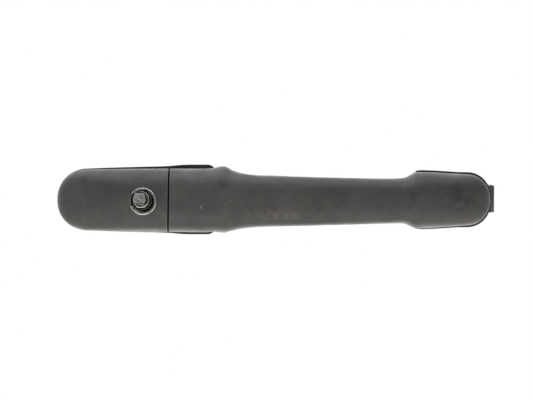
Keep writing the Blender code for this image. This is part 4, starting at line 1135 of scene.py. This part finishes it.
def make_world():
    """The camera sees plain white. The object is lit by LIGHT_FROM, with a pale backdrop behind it."""
    world = bpy.data.worlds.new("studio")
    bpy.context.scene.world = world
    world.use_nodes = True
    tree = world.node_tree
    place = add_node(tree, "ShaderNodeTexCoord").outputs["Generated"]
    direction = add_node(tree, "ShaderNodeSeparateXYZ", {"Vector": place}).outputs
    ramp = add_node(tree, "ShaderNodeValToRGB", {"Fac": remapped(tree, direction["Z"], -1, 1)})
    for _ in LIGHT_FROM[2:]:  # the ramp has two colours already
        ramp.color_ramp.elements.new(0.5)
    for element, (level, colour) in zip(ramp.color_ramp.elements, LIGHT_FROM):
        element.position, element.color = (level + 1) / 2, (*colour, 1)
    inputs = {
        MIX_AMOUNT: remapped(tree, direction["Y"], *BACKDROP),
        MIX_UNDER: ramp.outputs["Color"],
        MIX_OVER: BACKDROP_COLOUR,
    }
    backdrop = add_node(tree, "ShaderNodeMix", inputs, data_type="RGBA")
    strength = remapped(tree, direction["X"], -1, 1, *FROM_SIDES)
    inputs = {"Color": backdrop.outputs[MIX_COLOUR], "Strength": strength}
    light = add_node(tree, "ShaderNodeBackground", inputs).outputs["Background"]
    white = tree.nodes["Background"]
    white.inputs["Color"].default_value = (1, 1, 1, 1)
    seen = add_node(tree, "ShaderNodeLightPath").outputs["Is Camera Ray"]
    mix = add_node(tree, "ShaderNodeMixShader", {"Fac": seen, 1: light, 2: white.outputs["Background"]})
    tree.links.new(mix.outputs["Shader"], tree.nodes["World Output"].inputs["Surface"])


def make_lamp(name, place, size, power, colour=(1, 1, 1)):
    """A rectangular lamp, hidden from the camera."""
    data = bpy.data.lights.new(name, "AREA")
    data.shape, data.size, data.size_y = "RECTANGLE", *size
    data.energy, data.color = power, colour
    lamp = add_object(name, data)
    lamp.visible_camera = False
    lamp.location = place
    lamp.rotation_euler = (LIT_POINT - Vector(place)).to_track_quat("-Z", "Y").to_euler()


def make_camera():
    """The camera stands on the street side, a little above and to the left, and sees the whole handle."""
    target = Vector((0.0540, -0.025, 0.00075))
    azimuth, elevation, distance = radians(-0.5), radians(2.6), 2.0
    data = bpy.data.cameras.new("camera")
    data.sensor_width = 36
    data.lens = 245.6
    camera = add_object("camera", data)
    toward = Vector((sin(azimuth) * cos(elevation), -cos(azimuth) * cos(elevation), sin(elevation)))
    camera.location = target + toward * distance
    camera.rotation_euler = (-toward).to_track_quat("-Z", "Y").to_euler()
    bpy.context.scene.camera = camera


make_floor()
make_world()
make_lamp("top_light", (-0.1, -0.25, 0.9), (1.4, 0.7), 2.5)
make_lamp("front_light", (-0.5, -1.1, 0.6), (0.7, 0.7), 0.8)
make_lamp("low_back_light", (0.05, 0.9, -0.9), (1.8, 0.8), 11, (1, 0.98, 0.95))
make_lamp("low_front_light", (-0.1, -1.2, -0.75), (2.2, 0.6), 7, (1, 0.97, 0.93))
make_camera()
bpy.context.scene.view_settings.view_transform = "Standard"
